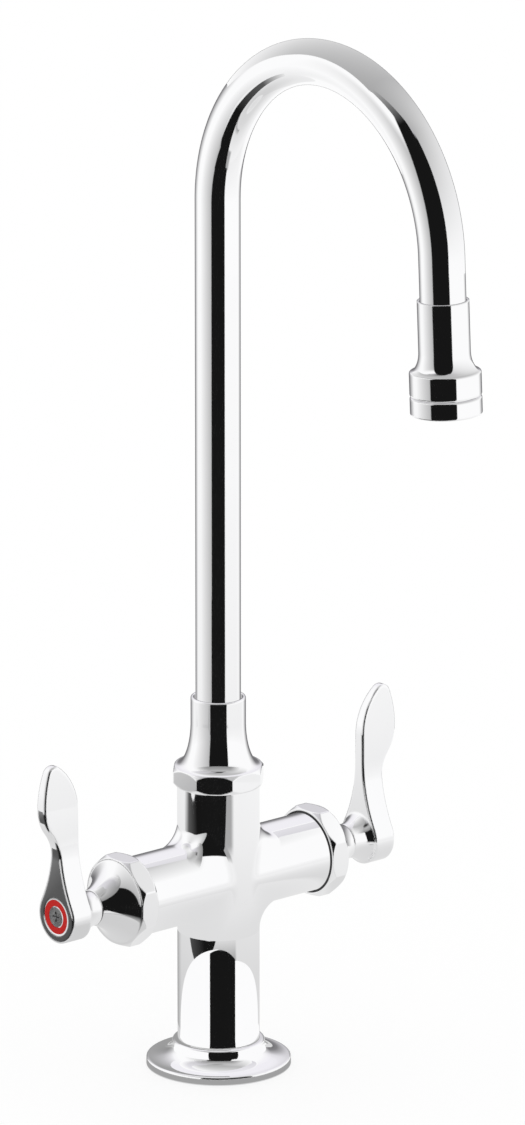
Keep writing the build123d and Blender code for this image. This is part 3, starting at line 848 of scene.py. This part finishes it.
    def pieces(self) -> Iterator[tuple[Object, Slot]]:
        """Makes the casting and drills its sockets.

        Yields:
            The casting and its slot.
        """
        lift = np.array([0.0, 0.0, ARM_AXIS])
        shell = Shell("body")
        for side in Side:
            shell.sew(self.fillet(side) + lift).sew(self.arm(side) + lift)
        for upper in (True, False):
            shell.sew(self.column(upper) + lift)
        piece = shell.piece("body", Slot.CHROME, "body_casting")
        carve(piece, self.sockets())
        yield piece, Slot.CHROME


@dataclass(frozen=True)
class Octagon:
    """The wrench flats of the nut and the bonnets: eight flats with softened corners and chamfered ends."""

    flat_r: float = 18.475
    chamfer: float = 1.5
    drop: float = 1.8
    sharpness: float = 300.0
    flats: int = 8
    per_flat: int = 32

    def turns(self) -> Array:
        """Angles that gather at the corners.

        Formula: in each flat, half its angle times 1 - (1 - |u|)^2, signed by u.

        Returns:
            The angles once round.
        """
        u = np.linspace(-1, 1, self.per_flat, endpoint=False)
        spread = np.pi / self.flats * np.sign(u) * (1 - (1 - np.abs(u)) ** 2)
        return (np.arange(self.flats)[:, None] * 2 * np.pi / self.flats + spread).ravel()

    def reach(self) -> Array:
        """Radius by angle: the flats' distance over the high-power mean of the cosines to the eight flats."""
        away = np.cos(self.turns()[:, None] - np.arange(self.flats) * 2 * np.pi / self.flats)
        return self.flat_r / (np.maximum(away, 0) ** self.sharpness).sum(1) ** (1 / self.sharpness)

    def rows(self, start: float, end: float, margin: float = 0.1) -> tuple[Array, Array]:
        """The flats between two heights, cut at both ends by a cone.

        Formula: the cone trims the radius to its own at the ends, and the chamfer's edge lies where the
        flats come out of it, a height in proportion to how far they stand past it.

        Args:
            start: Height of the lower end.
            end: Height of the upper end.
            margin: Distance of the inner rows from the chamfers' edges.

        Returns:
            Radii and heights, rows by angle.
        """
        reach = self.reach()
        cone = self.flat_r / math.cos(math.pi / self.flats) - self.chamfer
        rim = np.minimum(reach, cone)
        rise = self.drop * np.maximum(reach - cone, 0) / self.chamfer
        level = np.zeros_like(reach)
        lower = (start + level, start + rise, start + rise + margin)
        upper = (end - rise - margin, end - rise, end + level)
        return np.stack([rim, reach, reach, reach, reach, rim]), np.stack(lower + upper)

    def with_bell(self, start: float, end: float, above: Array) -> Array:
        """The flats, carried on round the outline of the bell and the bore back to the lower end.

        Args:
            start: Height of the lower end.
            end: Height of the upper end.
            above: Outline from the flats' top, over the bell and through the bore to the lower end.

        Returns:
            A grid whose last row joins its first.
        """
        radii, heights = self.rows(start, end)
        count = radii.shape[1]
        radii = np.concatenate([radii, np.broadcast_to(above[:, :1], (len(above), count))])
        heights = np.concatenate([heights, np.broadcast_to(above[:, 1:], (len(above), count))])
        return wheel(radii, heights, self.turns())


@dataclass
class CouplingNut(Assembly):
    """The nut that holds the spout: wrench flats, a hollow bell and a rolled rim round the tube."""

    octagon: Octagon = field(default_factory=Octagon)
    base: float = 124.6
    flats_top: float = 132.7
    bell_r: float = 18.175
    bell_height: float = 19.0
    rim_r: float = 11.625
    rim_round: float = 0.6
    top: float = 162.7
    bore_r: float = 10.325
    ceiling: float = 135.6
    shoulder_r: float = 12.775
    neck_top: float = 131.7
    neck_r: float = 14.425
    bell_steps: int = 56

    def pieces(self) -> Iterator[tuple[Object, Slot]]:
        """Makes the nut: the flats, then the bell, the rolled rim and the stepped bore.

        Yields:
            The nut and its slot.
        """
        bell_top, rim_base = self.flats_top + self.bell_height, self.top - self.rim_round
        rim_in = self.rim_r - self.rim_round
        bore = (self.bore_r, self.ceiling, self.shoulder_r, self.neck_top, self.neck_r, self.base)
        bell = (self.bell_r - self.rim_r, self.bell_height)
        above = joined(
            bow((self.bell_r, bell_top), bell, 270, -90, self.bell_steps),
            straight((self.rim_r, bell_top), (self.rim_r, rim_base)),
            bow((rim_in, rim_base), (self.rim_round, self.rim_round), 0, 90),
            edges(*stairs((rim_in, self.top), *bore)),
        )
        grid = self.octagon.with_bell(self.base, self.flats_top, above)
        shell = Shell("spout_nut").sew(grid, loop_rows=True)
        yield shell.piece("body", Slot.CHROME, "coupling_nut"), Slot.CHROME


@dataclass
class Gooseneck(Assembly):
    """The bent spout tube: upright riser, one wide bend and a short tail."""

    tube_r: float = 9.525
    bore_r: float = 8.325
    foot: float = 111.7
    bend_r: float = 70.5
    bend_height: float = 378.4
    bend_angle: float = 177.0
    tail: float = 36.0
    riser_rows: tuple[float, ...] = (200.0, 290.0)
    bend_steps: int = 220
    round_steps: int = 96

    def path(self) -> tuple[Array, Array]:
        """The tube's centre line, and the angle it has turned through at each point.

        Formula: straight up, then (0, R cos b - R, H + R sin b) for b over the bend, then straight on
        along (0, -sin b, cos b).

        Returns:
            Points and angles.
        """
        bend = np.radians(np.linspace(0, self.bend_angle, self.bend_steps + 1))
        rise = np.array([self.foot, self.foot + 1, *self.riser_rows, self.bend_height - 1])
        up = np.stack([0 * rise, 0 * rise, rise], -1)
        arc = np.stack(
            [0 * bend, self.bend_r * (np.cos(bend) - 1), self.bend_height + self.bend_r * np.sin(bend)], -1
        )
        down = np.array([1.0, self.tail / 2, self.tail])[:, None]
        end = arc[-1] + down * np.array([0.0, -np.sin(bend[-1]), np.cos(bend[-1])])
        turned = np.concatenate([np.zeros(len(rise)), bend, np.full(len(down), bend[-1])])
        return np.concatenate([up, arc, end]), turned

    def wall(self, radius: float) -> Array:
        """A round wall along the path: point + r (cos t X + sin t N), N turning with the bend.

        Args:
            radius: The wall's radius r.

        Returns:
            The grid, path by angle.
        """
        points, turned = self.path()
        turns = full_turn(self.round_steps)
        across = np.stack([0 * turned, np.cos(turned), np.sin(turned)], -1)
        sideways = np.cos(turns)[:, None] * np.array([1.0, 0.0, 0.0])
        return points[:, None, :] + radius * (sideways + np.sin(turns)[:, None] * across[:, None, :])

    def pieces(self) -> Iterator[tuple[Object, Slot]]:
        """Makes the tube with its bore."""
        walls = np.concatenate([self.wall(self.tube_r), self.wall(self.bore_r)[::-1]])
        shell = Shell("gooseneck").sew(walls, loop_rows=True)
        yield shell.piece("spout", Slot.CHROME, "gooseneck_tube"), Slot.CHROME


@dataclass
class Outlet(Assembly):
    """The fitting on the tube's end, with its flared band, and the aerator's housing below it."""

    tube: Gooseneck = field(default_factory=Gooseneck)
    tail: float = 18.0
    sleeve_r: float = 10.675
    sleeve_bore_r: float = 9.575
    insert: float = 18.0
    flare_start: float = 21.4
    flare_length: float = 8.0
    band_r: float = 14.8
    band_end: float = 39.4
    band_round: float = 0.8
    spigot_r: float = 12.75
    spigot_end: float = 42.4
    housing_start: float = 39.9
    housing_end: float = 47.3
    housing_bore_r: float = 12.8
    lip_r: float = 10.9
    lip_start: float = 46.4
    flare_steps: int = 200
    flare_thinning: int = 6
    corner_steps: int = 8

    def placed(self, grid: Array) -> Array:
        """Moves a grid made along Z onto the tube's tail: Z runs on along the tail and X stays across.

        Args:
            grid: The grid.

        Returns:
            The grid in its place.
        """
        points, turned = self.tube.path()
        turn = turned[-1]
        along = np.array([0.0, -np.sin(turn), np.cos(turn)])
        across = np.array([0.0, np.cos(turn), np.sin(turn)])
        origin = points[-1] - (self.tube.tail - self.tail) * along
        sideways = grid[..., :1] * np.array([1.0, 0.0, 0.0])
        return origin + sideways + grid[..., 1:2] * across + grid[..., 2:] * along

    def fitting(self) -> Array:
        """The fitting's closed outline: sleeve, quarter-ellipse flare, rounded band, spigot and bore.

        Returns:
            Points of radius and height along the tail.
        """
        band_in, band_base = self.band_r - self.band_round, self.band_end - self.band_round
        widening = (self.band_r - self.sleeve_r, self.flare_length)
        flare = bow((self.band_r, self.flare_start), widening, 180, -90, self.flare_steps)
        swept = rolled_corner(flare, self.band_r, self.band_round, self.corner_steps)
        corner = self.corner_steps + 1
        swept = np.concatenate([swept[:-corner][:: self.flare_thinning], swept[-corner:]])
        inside = (self.spigot_r, self.spigot_end, self.tube.bore_r, self.insert, self.sleeve_bore_r)
        return joined(
            straight((self.sleeve_bore_r, self.insert), (self.sleeve_bore_r, 0)),
            edges(*stairs((self.sleeve_bore_r, 0), self.sleeve_r, self.flare_start)),
            swept,
            straight(tuple(swept[-1]), (self.band_r, band_base)),
            bow((band_in, band_base), (self.band_round, self.band_round), 0, 90),
            edges(*stairs((band_in, self.band_end), *inside)),
        )[:-1]

    def housing(self) -> Array:
        """The housing's closed outline: a ring with rounded outer edges and an inner lip.

        Returns:
            Points of radius and height along the tail.
        """
        inner, rounded = self.band_r - self.band_round, (self.band_round, self.band_round)
        low, high = self.housing_start + self.band_round, self.housing_end - self.band_round
        inside = (self.lip_r, self.lip_start, self.housing_bore_r, self.housing_start, inner)
        return joined(
            bow((inner, low), rounded, 270, 90),
            straight((self.band_r, low), (self.band_r, high)),
            bow((inner, high), rounded, 0, 90),
            edges(*stairs((inner, self.housing_end), *inside)),
        )[:-1]

    def pieces(self) -> Iterator[tuple[Object, Slot]]:
        """Makes the fitting and the housing.

        Yields:
            Each of them and its slot.
        """
        for name, outline, node in (
            ("outlet_sleeve", self.fitting(), "outlet_fitting"),
            ("aerator_ring", self.housing(), "aerator_housing"),
        ):
            shell = Shell(name).sew(self.placed(spun(outline)), loop_rows=True)
            yield shell.piece("spout", Slot.CHROME, node), Slot.CHROME


@dataclass
class Valve(Assembly):
    """One valve's outside: the bonnet with its flats and hollow bell, the collar seal and the index ring."""

    side: Side
    octagon: Octagon = field(default_factory=Octagon)
    base: float = 48.0
    collar_r: float = 17.825
    collar_end: float = 50.0
    flats_end: float = 56.7
    bell_r: float = 17.575
    bell_bow: float = 24.0
    neck_r: float = 7.6
    end: float = 69.4
    neck_bore_r: float = 6.2
    clip: float = 60.6
    head_r: float = 8.05
    head: float = 52.4
    barrel_r: float = 10.05
    spigot: float = 41.0
    spigot_r: float = 13.3
    seal_inner_r: float = 16.825
    seal_outer_r: float = 17.775
    seal_face: float = 48.0
    seal_back: float = 49.95
    seal_bead: float = 0.6
    index_outer_r: float = 7.4
    index_inner_r: float = 4.65
    index_base: float = 87.6
    index_face: float = 88.6
    index_round: float = 0.2
    bell_steps: int = 48
    bead_steps: int = 16
    index_steps: int = 96
    index_round_steps: int = 5

    def bonnet(self) -> Array:
        """The bonnet's grid: flats, hollow bell, neck, stepped bore, spigot and the collar round the arm.

        Returns:
            The grid along Z.
        """
        bore = (self.neck_bore_r, self.clip, self.head_r, self.head, self.barrel_r, self.spigot)
        collar = (self.spigot_r, self.collar_end, self.collar_r, self.base)
        neck = (self.neck_r, self.end)
        above = joined(
            hollow((self.bell_r, self.flats_end), neck, self.bell_bow, self.bell_steps),
            edges(*stairs(neck, *bore, *collar)),
        )
        return self.octagon.with_bell(self.base, self.flats_end, above)

    def collar_seal(self) -> Array:
        """The collar seal's closed outline: a ring whose face swells out of the collar as half an ellipse.

        Returns:
            Points of radius and height along the arm.
        """
        middle = (self.seal_inner_r + self.seal_outer_r) / 2
        half = (self.seal_outer_r - self.seal_inner_r) / 2
        back = stairs((self.seal_outer_r, self.seal_back), self.seal_inner_r, self.seal_face)
        return joined(
            bow((middle, self.seal_face), (half, self.seal_bead), 180, 180, self.bead_steps),
            edges((self.seal_outer_r, self.seal_face), *back),
        )[:-1]

    def index_ring(self) -> Array:
        """The index ring's closed outline, with rounded outer corners.

        Returns:
            Points of radius and height along the arm.
        """
        rounded, face = (self.index_round, self.index_round), self.index_face - self.index_round
        outer, inner = self.index_outer_r - self.index_round, self.index_inner_r + self.index_round
        return joined(
            edges(*stairs((self.index_inner_r, self.index_base), self.index_outer_r, face)),
            bow((outer, face), rounded, 0, 90, self.index_round_steps),
            straight((outer, self.index_face), (inner, self.index_face)),
            bow((inner, face), rounded, 90, 90, self.index_round_steps),
            straight((self.index_inner_r, face), (self.index_inner_r, self.index_base)),
        )[:-1]

    def pieces(self) -> Iterator[tuple[Object, Slot]]:
        """Makes the bonnet, the collar seal and the index ring.

        Yields:
            Each of them and its slot.
        """
        label, index = self.side.label, self.side.index
        ring = spun(self.index_ring(), full_turn(self.index_steps))
        for name, grid, body, slot, node in (
            ("bell", self.bonnet(), "body", Slot.CHROME, "bonnet"),
            ("collar", spun(self.collar_seal()), "body", Slot.RUBBER, "collar_seal"),
            ("index", ring, f"{label}_handle", index, "index_ring"),
        ):
            shell = Shell(f"{label}_{name}").sew(on_arm(grid, self.side), loop_rows=True)
            yield shell.piece(body, slot, f"{label}_{node}"), slot


@dataclass
class CarriedNodes:
    """The part's own nodes that are shown as they are, each in the finish of its slot."""

    subparts: list[dict[str, str]]

    def dress(self, palette: Palette) -> None:
        """Dresses every node of the part by the record's slots.

        Args:
            palette: The finishes.
        """
        for subpart in self.subparts:
            node = subpart["node"]
            special = palette.lever if node.endswith("_lever") else None
            palette.dress(frame["nodes"][node], Slot(subpart["material_slot"]), special)
            log.info("dressed node %s", node)


@dataclass(frozen=True)
class Viewpoint:
    """The photograph's camera: a long lens, a little above the faucet and to the left of its front."""

    bearing: float = -40.3
    elevation: float = 16.5
    distance: float = 4.606
    lens: float = 352.0
    aim: tuple[float, float, float] = (0.0, 0.0, 0.20935)
    right: float = 0.0186
    up: float = 0.0113
    sensor: float = 36.0
    nearest: float = 0.1
    farthest: float = 60.0

    @property
    def away(self) -> Vector:
        """The direction from the faucet to the camera."""
        turn, rise = math.radians(self.bearing), math.radians(self.elevation)
        return Vector((math.sin(turn) * math.cos(rise), -math.cos(turn) * math.cos(rise), math.sin(rise)))

    def build(self) -> None:
        """Makes the camera and the scene's view of it."""
        away, turn = self.away, math.radians(self.bearing)
        across = Vector((math.cos(turn), math.sin(turn), 0.0))
        above = away.cross(across)
        data = bpy.data.cameras.new("viewpoint")
        data.sensor_width, data.lens = self.sensor, self.lens
        data.clip_start, data.clip_end = self.nearest, self.farthest
        camera = bpy.data.objects.new("viewpoint", data)
        camera.location = Vector(self.aim) + away * self.distance + across * self.right + above * self.up
        camera.rotation_mode = "QUATERNION"
        camera.rotation_quaternion = (-away).to_track_quat("-Z", "Y")
        bpy.context.scene.collection.objects.link(camera)
        bpy.context.scene.camera = camera


@dataclass(frozen=True)
class Card:
    """A studio card that only reflections see: a run of stations swept about the column.

    Bearings are in degrees from the camera's own, positive to its right. A station is a distance from the
    column's axis, a height, both in metres, and a tone.
    """

    name: str
    bearings: Point
    stations: tuple[tuple[float, float, float], ...]
    tint: Colour = (1.0, 1.0, 1.0)
    sides: Point = (0.0, 0.0)
    ends: Point = (0.0, 0.0)
    swing: float = 1.0
    arch: Point | None = None
    inward: bool = False

    def build(self, facing: float, steps: int = 120) -> Object:
        """Builds the card.

        Formula: d (sin b, -cos b, 0) + h Z over the bearing b and the stations' distance d and height h,
        the height times sqrt(1 - ((b - c) / w)^2) under an arch of middle c and half width w. The cover
        falls to nothing over the sides, in degrees, and over the ends, as shares of the run.

        Args:
            facing: The camera's own bearing.
            steps: Chords each way.

        Returns:
            The card.
        """
        u, v = np.meshgrid(np.linspace(0, 1, steps + 1), np.linspace(0, 1, steps + 1), indexing="ij")
        bearing = self.bearings[0] + u * (self.bearings[1] - self.bearings[0])
        knots = np.linspace(0, 1, len(self.stations))
        reach, height, tone = (np.interp(v, knots, [row[part] for row in self.stations]) for part in range(3))
        if self.arch:
            height = height * np.sqrt(np.maximum(1 - ((bearing - self.arch[0]) / self.arch[1]) ** 2, 0))
        turn = np.radians(bearing + facing)
        points = np.stack([reach * np.sin(turn), -reach * np.cos(turn), height], -1)
        edges_in = (
            (bearing - self.bearings[0], self.sides[0]),
            (self.bearings[1] - bearing, self.sides[1]),
            (v, self.ends[0]),
            (1 - v, self.ends[1]),
        )
        fades = [np.clip(inside / fade, 0, 1) if fade else np.ones_like(u) for inside, fade in edges_in]
        cover = np.prod(fades, axis=0)
        shade = (tone * (1 + u * (self.swing - 1)))[..., None] * np.asarray(self.tint)
        return card_object(self.name, points, np.concatenate([shade, cover[..., None]], -1), self.inward)


def card_object(name: str, points: Array, shades: Array, inward: bool) -> Object:
    """Makes a reflection card from a grid of points in metres and its colours with cover.

    Args:
        name: The card's name.
        points: Grid of points.
        shades: Grid of red, green, blue and cover.
        inward: Whether only its back shows, which is turned to the part.

    Returns:
        The card, seen by reflections alone.
    """
    mesh = bpy.data.meshes.new(name)
    mesh.from_pydata(points.reshape(-1, 3).tolist(), [], net(*points.shape[:2]).tolist())
    tone = mesh.attributes.new("tone", "FLOAT_COLOR", "POINT")
    tone.data.foreach_set("color", shades.astype(np.float32).ravel())
    card = bpy.data.objects.new(name, mesh)
    bpy.context.scene.collection.objects.link(card)
    mesh.materials.append(card_material(inward))
    card.visible_camera = card.visible_diffuse = card.visible_shadow = card.visible_transmission = False
    return card


def card_material(inward: bool) -> Material:
    """Builds, once, a card material: the card's own tone, clear where the cover runs out.

    Args:
        inward: Whether the card is clear from its front too.

    Returns:
        The material.
    """
    name = "inward_card_tone" if inward else "card_tone"
    made = bpy.data.materials.get(name)
    if made:
        return made
    made = bpy.data.materials.new(name)
    made.use_nodes = True
    graph = Graph(made.node_tree)
    tone = graph.node("ShaderNodeAttribute", attribute_name="tone")
    cover = tone.outputs["Alpha"]
    if inward:
        behind = graph.node("ShaderNodeNewGeometry").outputs["Backfacing"]
        cover = graph.node("ShaderNodeMath", {0: cover, 1: behind}, operation="MULTIPLY").outputs[0]
    glow = graph.node("ShaderNodeEmission", {"Color": tone.outputs["Color"]})
    clear = graph.node("ShaderNodeBsdfTransparent")
    mix = graph.node("ShaderNodeMixShader", {0: cover, 1: clear.outputs[0], 2: glow.outputs[0]})
    graph.node("ShaderNodeOutputMaterial", {"Surface": mix.outputs[0]})
    return made


@dataclass(frozen=True)
class BendCard:
    """A card that the camera sees mirrored in the spout's bend, between two lines along the tube.

    A row is an angle along the bend in degrees, the places of the two lines across the tube, from -1 at
    its outer edge to 1 at its inner one, and the tones along them. A card with a level lies flat at that
    height; one without stands off the bend by its reach. Both are in millimetres.
    """

    name: str
    rows: tuple[tuple[float, float, float, float, float], ...]
    level: float | None = None
    reach: float = 250.0

    def build(self, viewpoint: Viewpoint, tube: Gooseneck, steps: int = 120) -> Object:
        """Builds the card.

        Formula: at the angle a and the place s the wall's normal is sqrt(1 - s^2) M + s K, with M the
        direction across the tube that faces the camera most and K the one at right angles to it, towards
        the inside of the bend. The card lies on the camera's ray mirrored there, at its level or reach.

        Args:
            viewpoint: The camera.
            tube: The spout tube.
            steps: Chords each way.

        Returns:
            The card, seen from the tube alone.
        """
        rows = np.asarray(self.rows)
        share, v = np.meshgrid(np.linspace(0, 1, steps + 1), np.linspace(1, 0, steps + 1), indexing="ij")
        degrees = rows[0, 0] + share * (rows[-1, 0] - rows[0, 0])
        low, high, low_tone, high_tone = (np.interp(degrees, rows[:, 0], column) for column in rows.T[1:])
        place, tone = low + v * (high - low), low_tone + v * (high_tone - low_tone)
        angle, facing = np.radians(degrees), np.sqrt(1 - place**2)
        away = np.asarray(viewpoint.away)
        inside = -away[1] * np.cos(angle) - away[2] * np.sin(angle)
        most = np.hypot(away[0], inside)
        along_x = (facing * away[0] + place * inside) / most
        along_in = (facing * inside - place * away[0]) / most
        normal = np.stack([along_x, -along_in * np.cos(angle), -along_in * np.sin(angle)], -1)
        bend = np.stack([0 * angle, np.cos(angle) - 1, np.sin(angle)], -1)
        wall = tube.bend_r * bend + np.array([0.0, 0.0, tube.bend_height]) + tube.tube_r * normal
        mirrored = 2 * (facing * most)[..., None] * normal - away
        reach = self.reach + 0 * place
        if self.level is not None:
            reach = (self.level - wall[..., 2]) / mirrored[..., 2]
        points = (wall + reach[..., None] * mirrored) * MM
        shades = np.stack([tone, tone, tone, np.ones_like(tone)], -1)
        lie = np.cross(np.diff(points, axis=0)[:, :-1], np.diff(points, axis=1)[:-1])
        if (lie * mirrored[:-1, :-1]).sum() < 0:
            points, shades = points[:, ::-1], shades[:, ::-1]
        return card_object(self.name, points, shades, True)


BLACK = 0.008
BEND_CARDS: tuple[BendCard, ...] = (
    BendCard(
        "bend_black_up",
        (
            (12.0, -0.23, 0.27, BLACK, BLACK), (40.0, -0.06, 0.26, BLACK, BLACK),
            (60.0, 0.2, 0.42, 0.1, 0.1), (74.0, 0.42, 0.54, 0.8, 0.8),
        ),
        level=2.0,
    ),
    BendCard(
        "bend_black_down",
        ((117.0, 0.0, 0.12, 0.4, 0.4), (132.0, -0.2, 0.08, BLACK, BLACK), (177.0, -0.28, 0.22, BLACK, BLACK)),
    ),
    BendCard(
        "bend_grey",
        (
            (46.0, -0.98, -0.85, 1.0, 1.0), (80.0, -0.98, -0.25, 0.75, 0.55), (116.0, -0.98, 0.15, 0.5, 0.4),
            (136.0, -0.98, -0.26, 0.75, 0.45), (177.0, -0.98, -0.28, 1.0, 1.0),
        ),
        reach=255.0,
    ),
)
COOL = (1.0, 0.985, 1.03)
DOME = ((1.968, 2.264, 0.42), (1.5, 2.598, 0.42), (0.776, 2.898, 0.42), (0.0, 3.0, 0.42))
CARDS: tuple[Card, ...] = (
    Card(
        "floor_near", (-180.0, 180.0),
        (
            (0.02, 0.0001, 0.64), (0.13, 0.0001, 0.66), (0.22, 0.0001, 0.74), (0.32, 0.0001, 0.82),
            (0.42, 0.0001, 0.86),
        ),
        swing=1.1,
    ),
    Card(
        "floor_far", (-130.0, 130.0),
        ((0.42, 0.0001, 0.88), (0.6, 0.0001, 0.92), (0.9, 0.0001, 0.96), (1.3, 0.0001, 0.99)),
        sides=(20.0, 20.0),
    ),
    Card(
        "front_shade", (-26.0, 50.0), ((0.165, 0.0002, 0.33), (0.2, 0.0002, 0.33)),
        sides=(5.0, 5.0), ends=(0.0, 1.0),
    ),
    Card(
        "far_grey", (-72.0, 44.0), ((0.31, 0.0003, 0.39), (0.5, 0.0003, 0.39)),
        sides=(46.0, 9.0), ends=(0.1, 0.0),
    ),
    Card("foot_shade", (-180.0, 180.0), ((0.02, 0.0005, 0.36), (0.041, 0.0005, 0.36))),
    Card("foot_lit", (-120.0, 142.0), ((0.0455, 0.0006, 1.0), (0.0585, 0.0006, 1.0))),
    Card("foot_dark", (-20.5, 41.0), ((0.0455, 0.0008, BLACK), (0.058, 0.0008, BLACK))),
    Card(
        "foot_left", (-120.0, 0.0), ((0.058, 0.0, 1.0), (0.058, 0.0427, 1.0)),
        arch=(2.0, 122.0), inward=True,
    ),
    Card(
        "foot_right", (20.0, 142.0), ((0.058, 0.0, 1.0), (0.058, 0.0372, 1.0)),
        arch=(26.0, 106.0), inward=True,
    ),
    Card(
        "foot_black", (-20.5, 41.0), ((0.0575, 0.0, BLACK), (0.0575, 0.0426, BLACK)),
        arch=(2.7, 80.6), inward=True,
    ),
    Card(
        "arm_floor", (-180.0, 180.0),
        ((0.0005, 0.06, 0.73), (0.03, 0.06, 0.76), (0.045, 0.06, 0.79), (0.062, 0.06, 0.82)),
        ends=(0.0, 0.12), inward=True,
    ),
    Card(
        "hot_floor", (-88.0, -12.0), ((0.05, 0.0601, 0.72), (0.066, 0.0601, 0.63), (0.1, 0.0601, 0.63)),
        sides=(8.0, 8.0), ends=(0.2, 0.3), inward=True,
    ),
    Card(
        "foot_side", (-185.0, -112.0), ((0.0585, 0.0, 0.34), (0.0585, 0.05, 0.34)),
        sides=(0.0, 40.0), inward=True,
    ),
    Card(
        "black_panel", (-34.0, 36.0), ((0.48, 0.0, BLACK), (0.48, 1.05, BLACK)),
        sides=(3.0, 1.0), ends=(0.0, 0.1),
    ),
    Card(
        "left_panel", (-95.0, -33.0), ((0.481, 0.0, 0.50), (0.481, 0.7, 0.50)),
        sides=(62.0, 0.0), ends=(0.0, 0.2),
    ),
    Card(
        "low_ceiling", (-80.0, 80.0),
        ((0.255, 0.3, 0.27), (0.2, 0.3, 0.34), (0.16, 0.3, 0.42), (0.13, 0.3, 0.50), (0.09, 0.3, 0.62)),
        sides=(45.0, 35.0), ends=(0.0, 0.25), inward=True,
    ),
    Card("overhead_right", (0.0, 180.0), DOME, tint=COOL, swing=2.05, ends=(0.0, 0.3)),
    Card("overhead_left", (0.0, -180.0), DOME, tint=COOL, swing=2.05, ends=(0.25, 0.3)),
    Card(
        "back_wall", (126.0, 242.0),
        (
            (3.0, -0.86, 0.17), (3.0, -0.42, 0.17), (3.0, 0.0, 0.18), (3.0, 0.42, 0.24), (3.0, 0.80, 0.45),
            (3.0, 1.15, 0.76), (3.0, 1.55, 0.87), (3.0, 2.0, 0.90), (3.0, 3.3, 0.90),
        ),
        tint=COOL, sides=(30.0, 40.0),
    ),
)


@dataclass
class Studio:
    """White floor, even white light, and dark and grey cards for the chrome to reflect."""

    viewpoint: Viewpoint = field(default_factory=Viewpoint)
    cards: tuple[Card, ...] = CARDS
    bend_cards: tuple[BendCard, ...] = BEND_CARDS
    floor_half: float = 9.0
    floor_glow: float = 0.75

    def build(self) -> None:
        """Builds the light, the floor, the cards and the camera."""
        self.light()
        self.floor()
        for card in self.cards:
            card.build(self.viewpoint.bearing)
        for card in self.bend_cards:
            card.build(self.viewpoint, Gooseneck())
        self.viewpoint.build()
        bpy.context.scene.view_settings.view_transform = "Standard"
        log.info("studio")

    def light(self) -> None:
        """Fills the world with plain white light."""
        world = bpy.data.worlds.new("white_room")
        world.use_nodes = True
        graph = Graph(world.node_tree)
        light = graph.node("ShaderNodeBackground", {"Color": WHITE, "Strength": 1.0})
        graph.node("ShaderNodeOutputWorld", {"Surface": light.outputs[0]})
        bpy.context.scene.world = world

    def floor(self) -> None:
        """Lays a matt white floor on the deck plane, left out of the chrome's reflections."""
        side = np.linspace(-self.floor_half, self.floor_half, 3)
        u, v = np.meshgrid(side, side, indexing="ij")
        mesh = bpy.data.meshes.new("floor")
        mesh.from_pydata(np.stack([u, v, 0 * u], -1).reshape(-1, 3).tolist(), [], net(3, 3).tolist())
        paint = bpy.data.materials.new("floor_paint")
        paint.use_nodes = True
        graph = Graph(paint.node_tree)
        matt = graph.node("ShaderNodeBsdfDiffuse", {"Color": WHITE}).outputs[0]
        glow = graph.node("ShaderNodeEmission", {"Color": WHITE, "Strength": 1.0}).outputs[0]
        rays = graph.node("ShaderNodeLightPath").outputs
        seen = rays["Is Camera Ray"]
        for ray in ("Is Glossy Ray", "Is Transmission Ray"):
            seen = graph.node("ShaderNodeMath", {0: seen, 1: rays[ray]}, operation="ADD").outputs[0]
        share = graph.node("ShaderNodeMath", {0: seen, 1: self.floor_glow}, operation="MULTIPLY")
        paint_mix = graph.node("ShaderNodeMixShader", {0: share.outputs[0], 1: matt, 2: glow})
        graph.node("ShaderNodeOutputMaterial", {"Surface": paint_mix.outputs[0]})
        mesh.materials.append(paint)
        floor = bpy.data.objects.new("floor", mesh)
        bpy.context.scene.collection.objects.link(floor)
        floor.visible_glossy = False


def main() -> None:
    """Builds and dresses the faucet, then the studio."""
    logging.basicConfig(level=logging.INFO, format="%(name)s: %(message)s")
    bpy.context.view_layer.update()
    palette = Palette()
    CarriedNodes(frame["record"]["subparts"]).dress(palette)
    valves = (Valve(side) for side in Side)
    for assembly in (BaseFlange(), BodyCasting(), CouplingNut(), Gooseneck(), Outlet(), *valves):
        assembly.build(palette)
    Studio().build()


if __name__ == "__main__":
    main()
